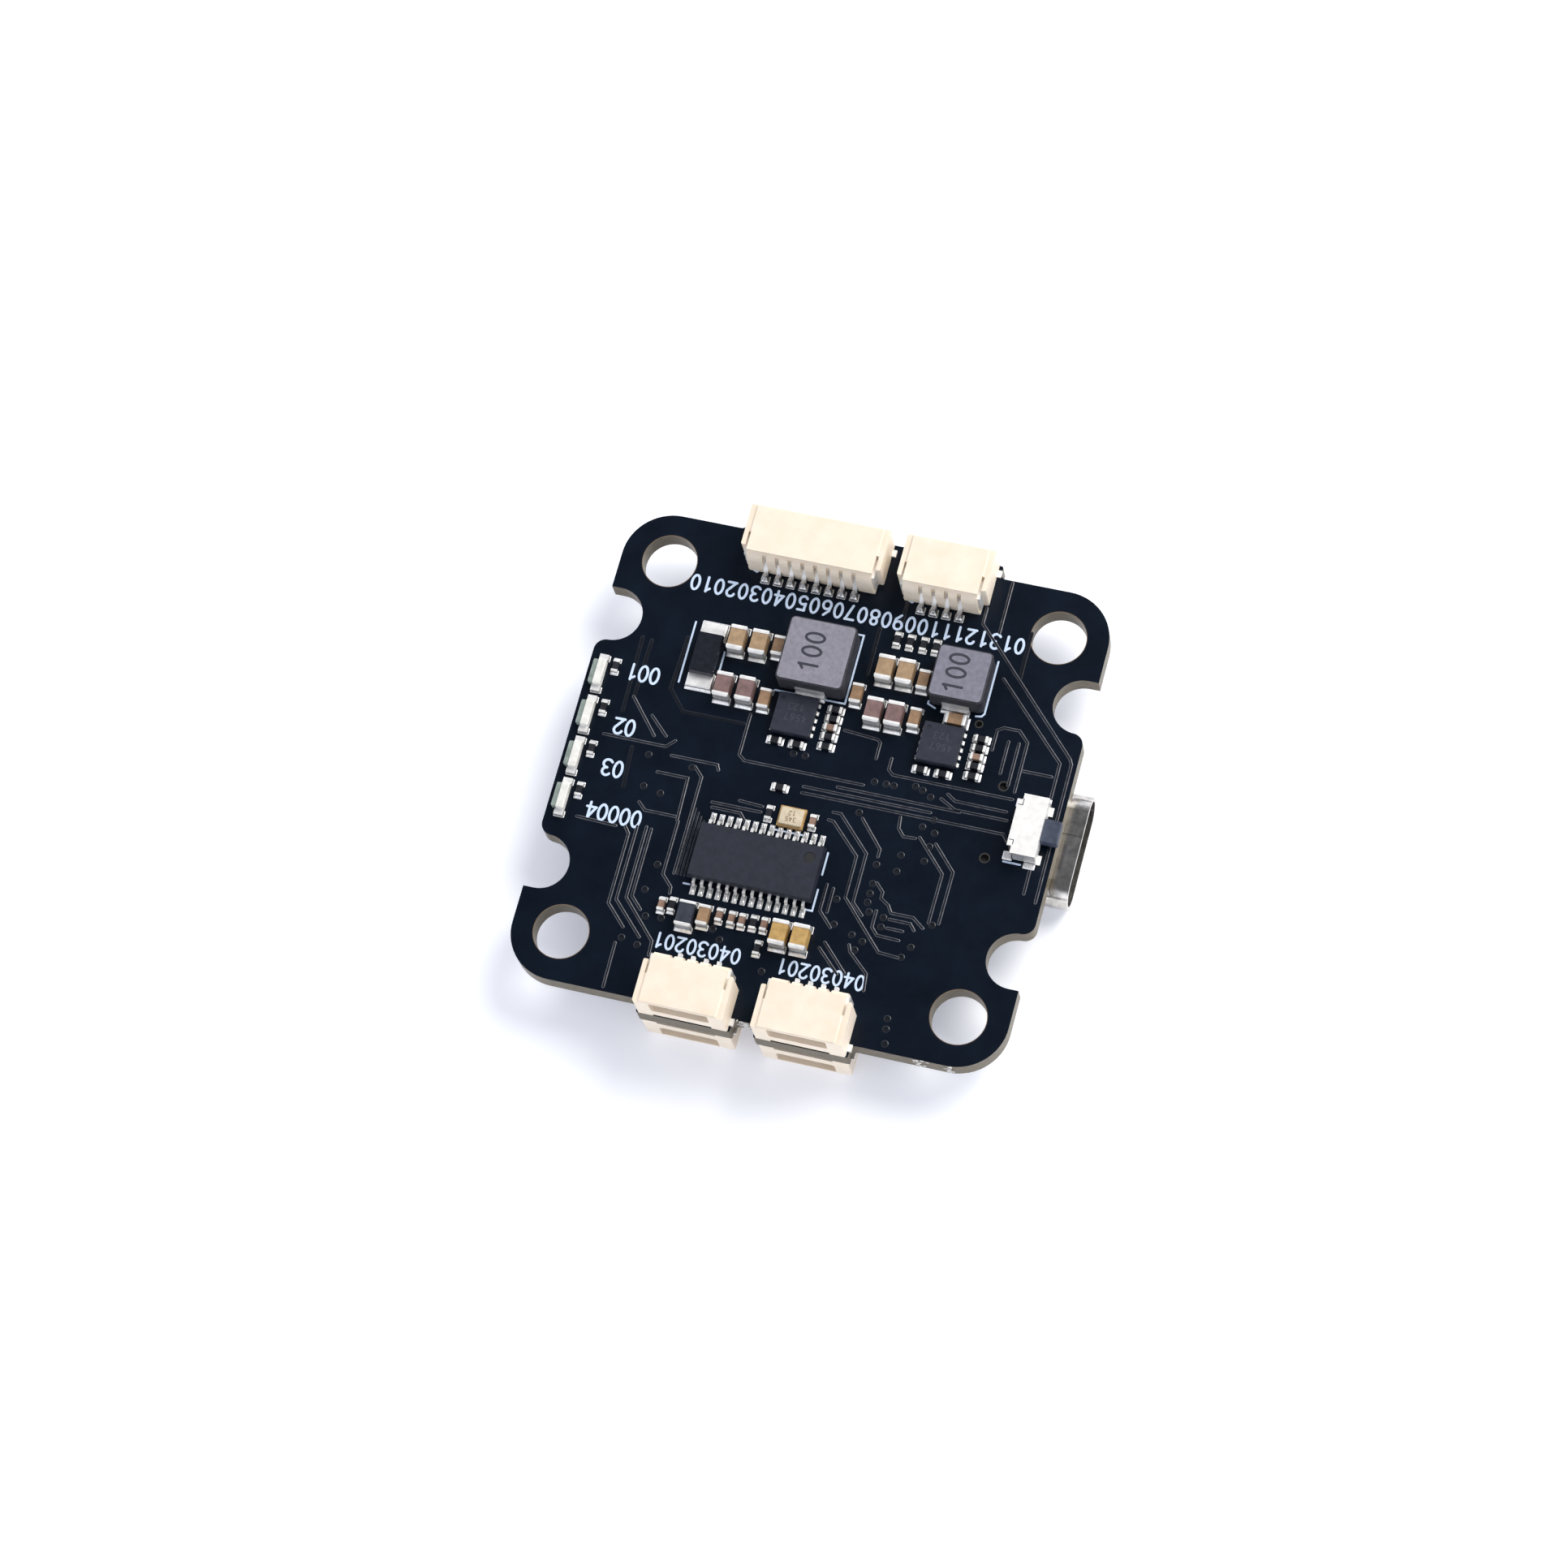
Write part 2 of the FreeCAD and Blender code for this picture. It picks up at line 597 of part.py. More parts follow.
# ---- Boot push-switch -------------------------------------------------------
def switch_cover():
    """Folded sheet lid with two corner notches, a front wall and soldered feet."""
    x0, x1 = SW_X
    y0, y1 = SW_Y
    top_z = BOARD_T + SW_H
    parts = [
        block(x0, x1, y0, y1, top_z - SW_SHEET, top_z),
        block(x1 - SW_SHEET, x1, y0, y1, BOARD_T + SW_FRONT_LIFT, top_z),
    ]
    side_x = x0 + SW_SIDE_SETBACK
    for wall_y in (y0, y1 - SW_SHEET):
        parts.append(block(side_x, x1, wall_y, wall_y + SW_SHEET, BOARD_T + SW_SIDE_LIFT, top_z))
    for foot_y0, foot_y1 in SW_FEET_Y:
        parts.append(block(x1 - SW_SHEET, x1, foot_y0, foot_y1, BOARD_T, BOARD_T + SW_SIDE_LIFT))
        parts.append(block(x1 - SW_SHEET, x1 + SW_FOOT_OUT, foot_y0, foot_y1, BOARD_T, BOARD_T + SW_SHEET))
    gap = PLUNGER_W / 2 + PLUNGER_GAP
    window_top = BOARD_T + PLUNGER_Z + PLUNGER_H + PLUNGER_GAP
    cuts = [block(x1 - 1, x1 + 1, SW_MID_Y - gap, SW_MID_Y + gap, BOARD_T, window_top)]
    for notch_y0, notch_y1 in ((y0 - 1, y0 + SW_NOTCH[1]), (y1 - SW_NOTCH[1], y1 + 1)):
        cuts.append(block(x0 - 1, x0 + SW_NOTCH[0], notch_y0, notch_y1, BOARD_T, top_z + 1))
    return join(parts).cut(cuts)


def switch_plunger():
    """Sliding key with a collar that keeps it behind the front wall."""
    z0 = BOARD_T + PLUNGER_Z
    z1 = z0 + PLUNGER_H
    half = PLUNGER_W / 2
    stem = block(PLUNGER_BACK_X, PLUNGER_FRONT_X, SW_MID_Y - half, SW_MID_Y + half, z0, z1)
    stem = stem.makeFillet(PLUNGER_EDGE_R, edges_at_x(stem, PLUNGER_FRONT_X))
    half += PLUNGER_COLLAR
    collar_x = PLUNGER_BACK_X + PLUNGER_COLLAR_L
    collar = block(PLUNGER_BACK_X, collar_x, SW_MID_Y - half, SW_MID_Y + half, z0, z1)
    nub_at = Vector(PLUNGER_BACK_X - PLUNGER_NUB, SW_MID_Y, z0 + PLUNGER_H / 2)
    nub = Part.makeCylinder(PLUNGER_NUB_R, 2 * PLUNGER_NUB, nub_at, Vector(1, 0, 0))
    return join([stem, collar, nub])


def switch_base():
    """Moulded tray with a guide channel for the key and a pocket for the dome."""
    x0, x1 = SW_X
    y0, y1 = SW_Y
    wall = SW_SHEET + SW_BASE_GAP
    floor, roof = BOARD_T + SW_BASE_GAP, BOARD_T + SW_H - wall
    body = block(x0 + SW_BASE_X_GAP, x1 - wall, y0 + wall, y1 - wall, floor, roof)
    half = PLUNGER_W / 2 + PLUNGER_COLLAR + PLUNGER_GAP
    low = BOARD_T + PLUNGER_Z - PLUNGER_GAP
    high = BOARD_T + PLUNGER_Z + PLUNGER_H + PLUNGER_GAP
    pocket_x = DOME_BACK_X - DOME_T - SW_BASE_GAP
    cuts = [block(pocket_x, x1 + 1, SW_MID_Y - half, SW_MID_Y + half, low, high)]
    notch_x = x0 + SW_NOTCH[0] + SW_BASE_X_GAP
    notch_w = SW_NOTCH[1] + SW_BASE_X_GAP
    for notch_y0, notch_y1 in ((y0, y0 + notch_w), (y1 - notch_w, y1)):
        cuts.append(block(x0 - 1, notch_x, notch_y0, notch_y1, BOARD_T, BOARD_T + SW_H))
    return body.cut(cuts)


def bowed_edge(x, start_y, end_y):
    """Arc that bulges along +X between two ends."""
    crown = Vector(x + DOME_RISE, SW_MID_Y, 0)
    return Part.Arc(Vector(x, start_y, 0), crown, Vector(x, end_y, 0)).toShape()


def switch_dome():
    """Bowed contact leaf behind the key."""
    low_y, high_y = SW_MID_Y - DOME_W / 2, SW_MID_Y + DOME_W / 2
    front, back = DOME_BACK_X, DOME_BACK_X - DOME_T
    edges = [
        bowed_edge(front, low_y, high_y),
        Part.LineSegment(Vector(front, high_y, 0), Vector(back, high_y, 0)).toShape(),
        bowed_edge(back, high_y, low_y),
        Part.LineSegment(Vector(back, low_y, 0), Vector(front, low_y, 0)).toShape(),
    ]
    leaf = Part.Face(Part.Wire(edges))
    leaf.translate(Vector(0, 0, BOARD_T + PLUNGER_Z + DOME_END_GAP))
    return leaf.extrude(Vector(0, 0, PLUNGER_H - 2 * DOME_END_GAP))


def switch_terminals():
    """Four flat solder terminals at the corners of the switch."""
    x0, x1 = SW_X
    y0, y1 = SW_Y
    z0, z1 = BOARD_T, BOARD_T + SW_TERMINAL_T
    rear = [x0 + offset for offset in SW_REAR_TERMINAL]
    near, far = SW_REAR_TERMINAL_Y
    side = [x1 + offset for offset in SW_SIDE_TERMINAL]
    return [
        block(*rear, y0 + near, y0 + far, z0, z1),
        block(*rear, y1 - far, y1 - near, z0, z1),
        block(*side, y0 - SW_SIDE_TERMINAL_OUT, y0, z0, z1),
        block(*side, y1, y1 + SW_SIDE_TERMINAL_OUT, z0, z1),
    ]


def make_switch():
    """Boot push-switch as five kinds of piece."""
    terminals = switch_terminals()
    save("boot_switch_cover", switch_cover().cut(terminals))
    save("boot_switch_base", switch_base().cut(terminals))
    save("boot_switch_plunger", switch_plunger())
    save("boot_switch_dome", switch_dome())
    save("boot_switch_terminals", *terminals)


# ---- Moulded inductors ------------------------------------------------------
def coil_ring(size, height, gap):
    """Ring-shaped space for the coil, drawn in by a gap on its inner and outer walls."""
    middle = height / 2 + COIL_RAISE
    low, high = middle - height * COIL_HALF_H, middle + height * COIL_HALF_H
    outer = cylinder(0, 0, low, high, size * COIL_OUTER - gap)
    return outer.cut(cylinder(0, 0, low, high, size * COIL_INNER + gap))


def inductor_terminal(side, size, height, width):
    """Folded terminal: a foot under the body and out past it, and an upright."""
    upright_y = sorted((side * (size / 2 - TERMINAL_SUNK), side * (size / 2 + TERMINAL_PROUD)))
    foot_y = sorted((side * (size / 2 - TERMINAL_UNDER), side * (size / 2 + TERMINAL_FOOT_OUT)))
    upright = block(-width / 2, width / 2, *upright_y, 0, height * TERMINAL_RISE)
    foot = block(-width / 2, width / 2, *foot_y, 0, TERMINAL_T)
    return join([upright, foot])


def make_inductors():
    """The two buck inductors: body, coil sealed inside it, two terminals."""
    coils = []
    for name, x, y, size, height, width in INDUCTORS:
        terminals = [inductor_terminal(side, size, height, width) for side in (-1, 1)]
        body = soft_block(0, 0, size, size, INDUCTOR_LIFT, height, INDUCTOR_CORNER_R, INDUCTOR_EDGE)
        body = body.cut([coil_ring(size, height, 0)] + terminals)
        save(name + "_body", moved(body, x, y, BOARD_T))
        save(name + "_terminals", *[moved(piece, x, y, BOARD_T) for piece in terminals])
        coils.append(moved(coil_ring(size, height, COIL_GAP), x, y, BOARD_T))
    save("inductor_coils", *coils)


# ---- Chips ------------------------------------------------------------------
def moulded_body(lx, ly, z0, z1, draft):
    """Chip body with drafted sides above and below its parting line."""
    mid = (z0 + z1) / 2
    halves = []
    for far_z in (z0, z1):
        rings = []
        for z, inset in ((mid, 0), (far_z, draft)):
            hx, hy = lx / 2 - inset, ly / 2 - inset
            corners = [Vector(-hx, -hy, z), Vector(hx, -hy, z), Vector(hx, hy, z), Vector(-hx, hy, z)]
            rings.append(Part.makePolygon(corners + corners[:1]))
        halves.append(Part.makeLoft(rings, True, True))
    return join(halves)


def gull_lead(body_y, tip_y, foot, lead_z, width, thick):
    """Gull-wing lead pointing along +Y."""
    knee_y = tip_y - foot
    points = [
        (body_y - 0.15, lead_z),
        (knee_y - 0.12 - thick / 2, lead_z),
        (knee_y - thick / 2, thick),
        (knee_y - thick / 2, 0),
        (tip_y, 0),
        (tip_y, thick),
        (knee_y + thick / 2, thick),
        (knee_y - 0.12 + thick / 2, lead_z + thick),
        (body_y - 0.15, lead_z + thick),
    ]
    return side_profile(points, width)


def lead_row(lead, count, pitch):
    """Leads spread along X, all pointing along +Y."""
    return [moved(lead, (index - (count - 1) / 2) * pitch, 0, 0) for index in range(count)]


def dot(x, y, radius, top):
    """Tool for the round pin-1 mark sunk into a chip's top."""
    return cylinder(x, y, top - DOT_DEPTH, top + 1, radius)


def leaded_chip(size, lead, row, sides):
    """Chip body and leads on the listed sides, given as turns in degrees."""
    body = moulded_body(*size, CHIP_DRAFT)
    leads = []
    for turn in sides:
        leads += [moved(piece, 0, 0, 0, turn) for piece in lead_row(gull_lead(*lead), *row)]
    return body.cut(leads), leads


def make_leaded_chips():
    """Display chip on top; processor and regulator underneath."""
    body, leads = leaded_chip(DISPLAY_BODY, DISPLAY_LEAD, DISPLAY_ROW, (0, 180))
    body = body.cut(dot(*DISPLAY_DOT, DISPLAY_BODY[3]))
    save("display_chip_body", moved(body, *DISPLAY_AT))
    save("display_chip_leads", *[moved(piece, *DISPLAY_AT) for piece in leads])

    body, leads = leaded_chip(PROCESSOR_BODY, PROCESSOR_LEAD, PROCESSOR_ROW, (0, 90, 180, 270))
    body = body.cut(dot(*PROCESSOR_DOT, PROCESSOR_BODY[3]))
    save("processor_body", hung_under(body, *PROCESSOR_AT))
    save("processor_leads", *[hung_under(piece, *PROCESSOR_AT) for piece in leads])

    body, leads = leaded_chip(REGULATOR_BODY, REGULATOR_LEAD, REGULATOR_ROW, (0, 180))
    save("regulator_body", hung_under(body, *REGULATOR_AT))
    save("regulator_leads", *[hung_under(piece, *REGULATOR_AT) for piece in leads])


def flat_chip(size, pads):
    """Leadless chip: body, and pads that show along its two X sides."""
    lx, ly, height = size
    count, pitch, pad_w = pads
    body = soft_block(0, 0, lx, ly, FLAT_LIFT, height, FLAT_CORNER_R, FLAT_EDGE)
    bars = []
    for side in (-1, 1):
        x0, x1 = sorted((side * (lx / 2 - FLAT_PAD_IN), side * (lx / 2 + FLAT_PAD_OUT)))
        for index in range(count):
            y = (index - (count - 1) / 2) * pitch
            bars.append(block(x0, x1, y - pad_w / 2, y + pad_w / 2, 0, FLAT_PAD_H))
    return body.cut(bars), bars


def make_flat_chips():
    """Two buck converters on top; flash memory and gyro underneath."""
    bodies, pads = [], []
    for x, y in BUCK_CHIPS:
        body, bars = flat_chip(BUCK_BODY, BUCK_PADS)
        body = body.cut(dot(*BUCK_DOT, BUCK_BODY[2]))
        bodies.append(moved(body, x, y, BOARD_T))
        pads += [moved(bar, x, y, BOARD_T) for bar in bars]
    save("buck_chip_bodies", *bodies)
    save("buck_chip_pads", *pads)

    body, bars = flat_chip(MEMORY_BODY, MEMORY_PADS)
    save("flash_memory_body", hung_under(body, *MEMORY_AT))
    save("flash_memory_pads", *[hung_under(bar, *MEMORY_AT) for bar in bars])

    lx, ly, height = GYRO_BODY
    gyro = soft_block(0, 0, lx, ly, 0, height, FLAT_CORNER_R, FLAT_EDGE)
    save("gyro_sensor", hung_under(gyro.cut(dot(*GYRO_DOT, height)), *GYRO_AT))


def make_barometer():
    """Pressure sensor: laminate base and a metal lid with a vent hole."""
    base_x, base_y, base_h = BAROMETER_BASE
    lid_x, lid_y, lid_h = BAROMETER_LID
    wall = BAROMETER_LID_WALL
    vent_x, vent_y, vent_r = BAROMETER_VENT
    lid = soft_block(0, 0, lid_x, lid_y, base_h, lid_h, BAROMETER_LID_R, BAROMETER_LID_EDGE)
    inside = centred_block(0, 0, lid_x - 2 * wall, lid_y - 2 * wall, 0, lid_h - wall)
    lid = lid.cut([inside, cylinder(vent_x, vent_y, base_h, lid_h + 1, vent_r)])
    save("barometer_base", hung_under(centred_block(0, 0, base_x, base_y, 0, base_h), *BAROMETER_AT))
    save("barometer_lid", hung_under(lid, *BAROMETER_AT))


def make_crystals():
    """Timing crystals, one on each side: ceramic base and sealed lid."""
    base_x, base_y, base_h = CRYSTAL_BASE
    lid_x, lid_y, lid_h = CRYSTAL_LID
    base = centred_block(0, 0, base_x, base_y, 0, base_h)
    lid = soft_block(0, 0, lid_x, lid_y, base_h, lid_h, CRYSTAL_LID_R, FLAT_EDGE)
    save("crystal_bases", moved(base, *CRYSTAL_TOP_AT), hung_under(base, *CRYSTAL_UNDER_AT))
    save("crystal_lids", moved(lid, *CRYSTAL_TOP_AT), hung_under(lid, *CRYSTAL_UNDER_AT))


# ---- Two-terminal parts -----------------------------------------------------
# Case code: length, width, height, length of each metal end.
CASES = {
    "0805": (2.0, 1.25, 1.25, 0.33),
    "0603": (1.6, 0.85, 0.8, 0.25),
    "0402": (1.0, 0.5, 0.5, 0.22),
    "resistor": (1.0, 0.5, 0.35, 0.2),
    "ferrite": (2.0, 1.25, 1.0, 0.24),
}
END_SKIN = 0.03
END_ROUNDING = 0.12
ALONG_X, ALONG_Y = 0, 90

TAN_0805 = [(-8.3, 9.87), (-6.58, 9.87), (3.27, 9.88), (4.86, 9.88)]
MAUVE_0805 = [(-8.35, 6.0), (-6.6, 6.0), (3.27, 6.4), (4.88, 6.4)]
GOLD_0805 = [(0.87, -12.1), (2.47, -12.1)]
FERRITE = [(-6.35, -12.1)]
UPRIGHT_0603 = [
    (-5.16, 10.05), (-5.1, 5.7), (1.62, 7.56), (6.26, 9.65), (6.36, 6.55), (-5.05, -11.88),
]
LEVEL_0603 = [(9.4, 7.08)]
UPRIGHT_0402 = [
    (-8.4, -11.65), (-3.95, -11.55), (-3.0, -11.6), (-2.2, -11.6), (-0.5, -11.55), (0.95, -2.95),
]
UPRIGHT_RESISTORS = [(-7.65, -11.5), (-1.35, -11.55), (-0.55, -13.4), (-2.45, -2.95)]
LEVEL_RESISTORS = [(-2.2, -0.8)]
UNDER_RESISTORS = [
    (10.6, 1.0), (10.6, -1.0), (11.6, 1.0), (11.6, -1.0), (-5.6, 11.0), (-5.6, 12.4),
    (-11.6, 9.3), (4.4, -9.6), (4.4, -7.6), (-4.4, -13.2), (4.6, -13.2),
]
HEADER_RESISTOR_X = (3.45, 4.45, 5.5, 6.45)
HEADER_RESISTOR_Y = 12.55
# Feedback parts beside each buck converter, relative to the converter.
FEEDBACK_X = 2.87
FEEDBACK_Y = (1.15, 0.4, -1.05, -1.85)
FEEDBACK_CAP_Y = -0.35
FEEDBACK_ROW = (-1.0, 0.7)
FEEDBACK_ROW_Y = -2.15
# Decoupling capacitors around the processor, on the underside.
DECOUPLING = [
    (-9.3, 4.0), (-9.3, 2.2), (-9.3, -2.5), (5.3, 4.0), (5.3, 1.6), (5.3, -2.4), (-5.0, 8.2),
    (1.0, 8.2), (-4.0, -7.4), (0.5, -7.4), (-0.1, 11.5), (6.0, 12.9), (10.4, 10.5),
]


def chip_part(case):
    """Ceramic body and two metal ends, lying along X."""
    length, width, height, end = CASES[case]
    body = centred_block(0, 0, length - 2 * end, width - 2 * END_SKIN, END_SKIN, height - END_SKIN)
    ends = []
    for side in (-1, 1):
        tip = side * length / 2
        x0, x1 = sorted((tip - side * end, tip))
        cap = block(x0, x1, -width / 2, width / 2, 0, height)
        ends.append(cap.makeFillet(END_ROUNDING * height, edges_at_x(cap, tip)))
    return body, ends


def on_top(case, places, turn):
    """Bodies and ends of one case size on the component side."""
    body, ends = chip_part(case)
    bodies = [moved(body, x, y, BOARD_T, turn) for x, y in places]
    caps = [moved(end, x, y, BOARD_T, turn) for x, y in places for end in ends]
    return bodies, caps


def underneath(case, places):
    """Bodies and ends of one case size on the underside, lying along Y."""
    body, ends = chip_part(case)
    bodies = [hung_under(body, x, y, ALONG_Y) for x, y in places]
    caps = [hung_under(end, x, y, ALONG_Y) for x, y in places for end in ends]
    return bodies, caps


def make_capacitors():
    """Capacitors by case size, and by colour for the largest."""
    ends_0805 = []
    for name, places in (("tan", TAN_0805), ("mauve", MAUVE_0805), ("gold", GOLD_0805)):
        bodies, ends = on_top("0805", places, ALONG_Y)
        save("capacitor_0805_%s_bodies" % name, *bodies)
        ends_0805 += ends
    save("capacitor_0805_ends", *ends_0805)

    upright, upright_ends = on_top("0603", UPRIGHT_0603, ALONG_Y)
    level, level_ends = on_top("0603", LEVEL_0603, ALONG_X)
    save("capacitor_0603_bodies", *(upright + level))
    save("capacitor_0603_ends", *(upright_ends + level_ends))

    bodies, ends = on_top("0402", UPRIGHT_0402, ALONG_Y)
    feedback = [(x + FEEDBACK_X, y + FEEDBACK_CAP_Y) for x, y in BUCK_CHIPS]
    level, level_ends = on_top("0402", feedback, ALONG_X)
    under, under_ends = underneath("0402", DECOUPLING)
    save("capacitor_0402_bodies", *(bodies + level + under))
    save("capacitor_0402_ends", *(ends + level_ends + under_ends))

    bodies, ends = on_top("ferrite", FERRITE, ALONG_Y)
    save("ferrite_bead_body", *bodies)
    save("ferrite_bead_ends", *ends)


def make_resistors():
    """All 0402 resistors."""
    upright = UPRIGHT_RESISTORS + [(x, HEADER_RESISTOR_Y) for x in HEADER_RESISTOR_X]
    upright += [(LED_RESISTOR_AT[0], y + LED_RESISTOR_AT[1]) for y in LED_Y]
    level = list(LEVEL_RESISTORS)
    for x, y in BUCK_CHIPS:
        level += [(x + FEEDBACK_X, y + offset) for offset in FEEDBACK_Y]
        level += [(x + offset, y + FEEDBACK_ROW_Y) for offset in FEEDBACK_ROW]
    bodies, ends = on_top("resistor", upright, ALONG_Y)
    level_bodies, level_ends = on_top("resistor", level, ALONG_X)
    under_bodies, under_ends = underneath("resistor", UNDER_RESISTORS)
    save("resistor_bodies", *(bodies + level_bodies + under_bodies))
    save("resistor_ends", *(ends + level_ends + under_ends))


def make_leds():
    """Side-looking status lights: white housing, clear lens, two terminals."""
    body_x, body_y, body_h = LED_BODY
    lens_out, lens_y, lens_low, lens_high = LED_LENS
    foot_w, foot_y0, foot_y1, foot_h = LED_TERMINAL
    low, high = BOARD_T + FLAT_LIFT, BOARD_T + body_h
    face_x = LED_X - body_x / 2
    housings, lenses, terminals = [], [], []
    for y in LED_Y:
        housing = soft_block(LED_X, y, body_x, body_y, low, high, LED_BODY_R, LED_EDGE)
        lens = block(face_x - lens_out, face_x + LED_LENS_SUNK, y - lens_y / 2, y + lens_y / 2,
                     BOARD_T + lens_low, BOARD_T + lens_high)
        lens = lens.makeFillet(LED_LENS_R, edges_at_x(lens, face_x - lens_out))
        feet = []
        for side in (-1, 1):
            y0, y1 = sorted((y + side * foot_y0, y + side * foot_y1))
            feet.append(block(LED_X - foot_w / 2, LED_X + foot_w / 2, y0, y1, BOARD_T, BOARD_T + foot_h))
        housings.append(housing.cut([lens] + feet))
        lenses.append(lens)
        terminals += feet
    save("status_led_housings", *housings)
    save("status_led_lenses", *lenses)
    save("status_led_terminals", *terminals)


def make_diode():
    """Power diode: flat moulded body between two wide terminals."""
    x, y = DIODE_AT
    width, inner, outer, height = DIODE_TERMINAL
    body = moulded_body(*DIODE_BODY, DIODE_DRAFT)
    feet = []
    for side in (-1, 1):
        y0, y1 = sorted((side * inner, side * outer))
        foot = block(-width / 2, width / 2, y0, y1, 0, height)
        feet.append(foot.makeFillet(DIODE_TERMINAL_R, edges_at_height(foot, height)))
    save("diode_body", moved(body.cut(feet), x, y, BOARD_T))
    save("diode_terminals", *[moved(foot, x, y, BOARD_T) for foot in feet])


save("circuit_board", make_board())
make_sockets()
make_usb()
make_switch()
make_inductors()
make_leaded_chips()
make_flat_chips()
make_barometer()
make_crystals()
make_capacitors()
make_resistors()
make_leds()
make_diode()
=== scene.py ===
"""Looks of the flight controller board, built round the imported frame, in metres."""
import json
import math
import random

import bmesh
import bpy
from mathutils import Matrix, Vector


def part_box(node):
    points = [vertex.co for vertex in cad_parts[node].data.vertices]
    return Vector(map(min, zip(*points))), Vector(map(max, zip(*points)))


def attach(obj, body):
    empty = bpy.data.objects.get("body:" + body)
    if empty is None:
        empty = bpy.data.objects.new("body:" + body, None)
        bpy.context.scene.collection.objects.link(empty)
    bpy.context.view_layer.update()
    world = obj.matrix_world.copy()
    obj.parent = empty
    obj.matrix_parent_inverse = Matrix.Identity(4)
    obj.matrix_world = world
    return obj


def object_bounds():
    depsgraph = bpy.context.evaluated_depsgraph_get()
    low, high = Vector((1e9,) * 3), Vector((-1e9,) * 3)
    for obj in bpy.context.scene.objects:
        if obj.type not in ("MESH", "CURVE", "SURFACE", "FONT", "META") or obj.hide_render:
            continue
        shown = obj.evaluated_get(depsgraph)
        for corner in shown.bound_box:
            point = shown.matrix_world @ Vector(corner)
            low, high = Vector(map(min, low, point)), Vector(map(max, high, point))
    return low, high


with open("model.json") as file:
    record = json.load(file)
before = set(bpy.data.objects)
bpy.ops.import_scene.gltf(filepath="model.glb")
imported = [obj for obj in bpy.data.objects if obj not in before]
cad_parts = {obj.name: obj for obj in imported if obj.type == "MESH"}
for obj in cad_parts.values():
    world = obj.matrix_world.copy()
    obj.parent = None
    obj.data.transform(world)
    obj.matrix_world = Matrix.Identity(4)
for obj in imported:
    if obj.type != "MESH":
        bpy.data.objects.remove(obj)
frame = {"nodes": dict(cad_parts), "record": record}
nodes = frame["nodes"]
cad_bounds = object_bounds()
random.seed(11)

MM = 0.001
BODY = "board"
TOP, UNDER = 1, -1
board_low, board_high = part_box("circuit_board")
SOCKETS = ("motor_signal", "serial", "camera", "video_link", "receiver", "position_sensor")


def in_mm(node):
    """(lowest corner, highest corner) of a CAD node, in millimetres."""
    low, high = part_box(node)
    return low / MM, high / MM


# ---- Materials ----------------------------------------------------------------
NOISE_ROUGHNESS = 0.55
FLAT_LIMIT = 0.6
SPECKLE_LOW, SPECKLE_HIGH = 0.3, 0.7


class Graph:
    """A node material, written one short call per node."""

    def __init__(self, name, rough=0.5, metal=0.0, specular=0.5):
        self.material = bpy.data.materials.new(name)
        self.material.use_nodes = True
        self.tree = self.material.node_tree
        self.shader = self.tree.nodes["Principled BSDF"]
        self.set("Roughness", rough)
        self.set("Metallic", metal)
        self.set("Specular IOR Level", specular)
        self.point = self.add("TexCoord").outputs["Object"]

    def add(self, kind, inputs=None, **settings):
        node = self.tree.nodes.new("ShaderNode" + kind)
        for key, value in settings.items():
            setattr(node, key, value)
        for key, value in (inputs or {}).items():
            self.feed(value, node.inputs[key])
        return node

    def feed(self, value, socket):
        if isinstance(value, bpy.types.NodeSocket):
            self.tree.links.new(value, socket)
        else:
            socket.default_value = value

    def set(self, key, value):
        self.feed(value, self.shader.inputs[key])

    def math(self, kind, a, b=0.0):
        node = self.add("Math", operation=kind)
        for socket, value in zip(node.inputs, (a, b)):
            self.feed(value, socket)
        return node.outputs[0]

    def noise(self, size_mm, detail=3.0, stretch=None):
        """Noise from 0 to 1 whose features are about size_mm across."""
        where = self.point
        if stretch:
            where = self.add("Mapping", {"Vector": self.point, "Scale": stretch}).outputs[0]
        settings = {"Vector": where, "Scale": 1 / (size_mm * MM)}
        settings.update({"Detail": detail, "Roughness": NOISE_ROUGHNESS})
        return self.add("TexNoise", settings).outputs["Fac"]

    def cells(self, size_mm):
        """Distance to the nearest of scattered grains."""
        settings = {"Vector": self.point, "Scale": 1 / (size_mm * MM)}
        return self.add("TexVoronoi", settings).outputs["Distance"]

    def ramp(self, fac, *stops):
        """Colour ramp through (place, colour) stops."""
        node = self.add("ValToRGB", {"Fac": fac})
        elements = node.color_ramp.elements
        while len(elements) < len(stops):
            elements.new(0.5)
        for element, (place, colour) in zip(elements, stops):
            element.position = place
            element.color = (*colour, 1)
        return node.outputs["Color"]

    def level(self, fac, low, high):
        """Spread 0..1 over low..high."""
        return self.add("MapRange", {"Value": fac, "To Min": low, "To Max": high}).outputs[0]

    def mix(self, fac, a, b):
        node = self.add("Mix", data_type="RGBA")
        self.feed(fac, node.inputs["Factor"])
        self.feed(a, node.inputs["A"])
        self.feed(b, node.inputs["B"])
        return node.outputs["Result"]

    def up(self, limit=FLAT_LIMIT):
        """1 on faces that look along Z, 0 on side walls."""
        normal = self.add("NewGeometry").outputs["Normal"]
        z = self.add("SeparateXYZ", {"Vector": normal}).outputs["Z"]
        return self.math("GREATER_THAN", self.math("ABSOLUTE", z), limit)

    def bump(self, height, depth_mm, strength):
        node = self.add("Bump", {"Height": height, "Distance": depth_mm * MM, "Strength": strength})
        self.set("Normal", node.outputs["Normal"])


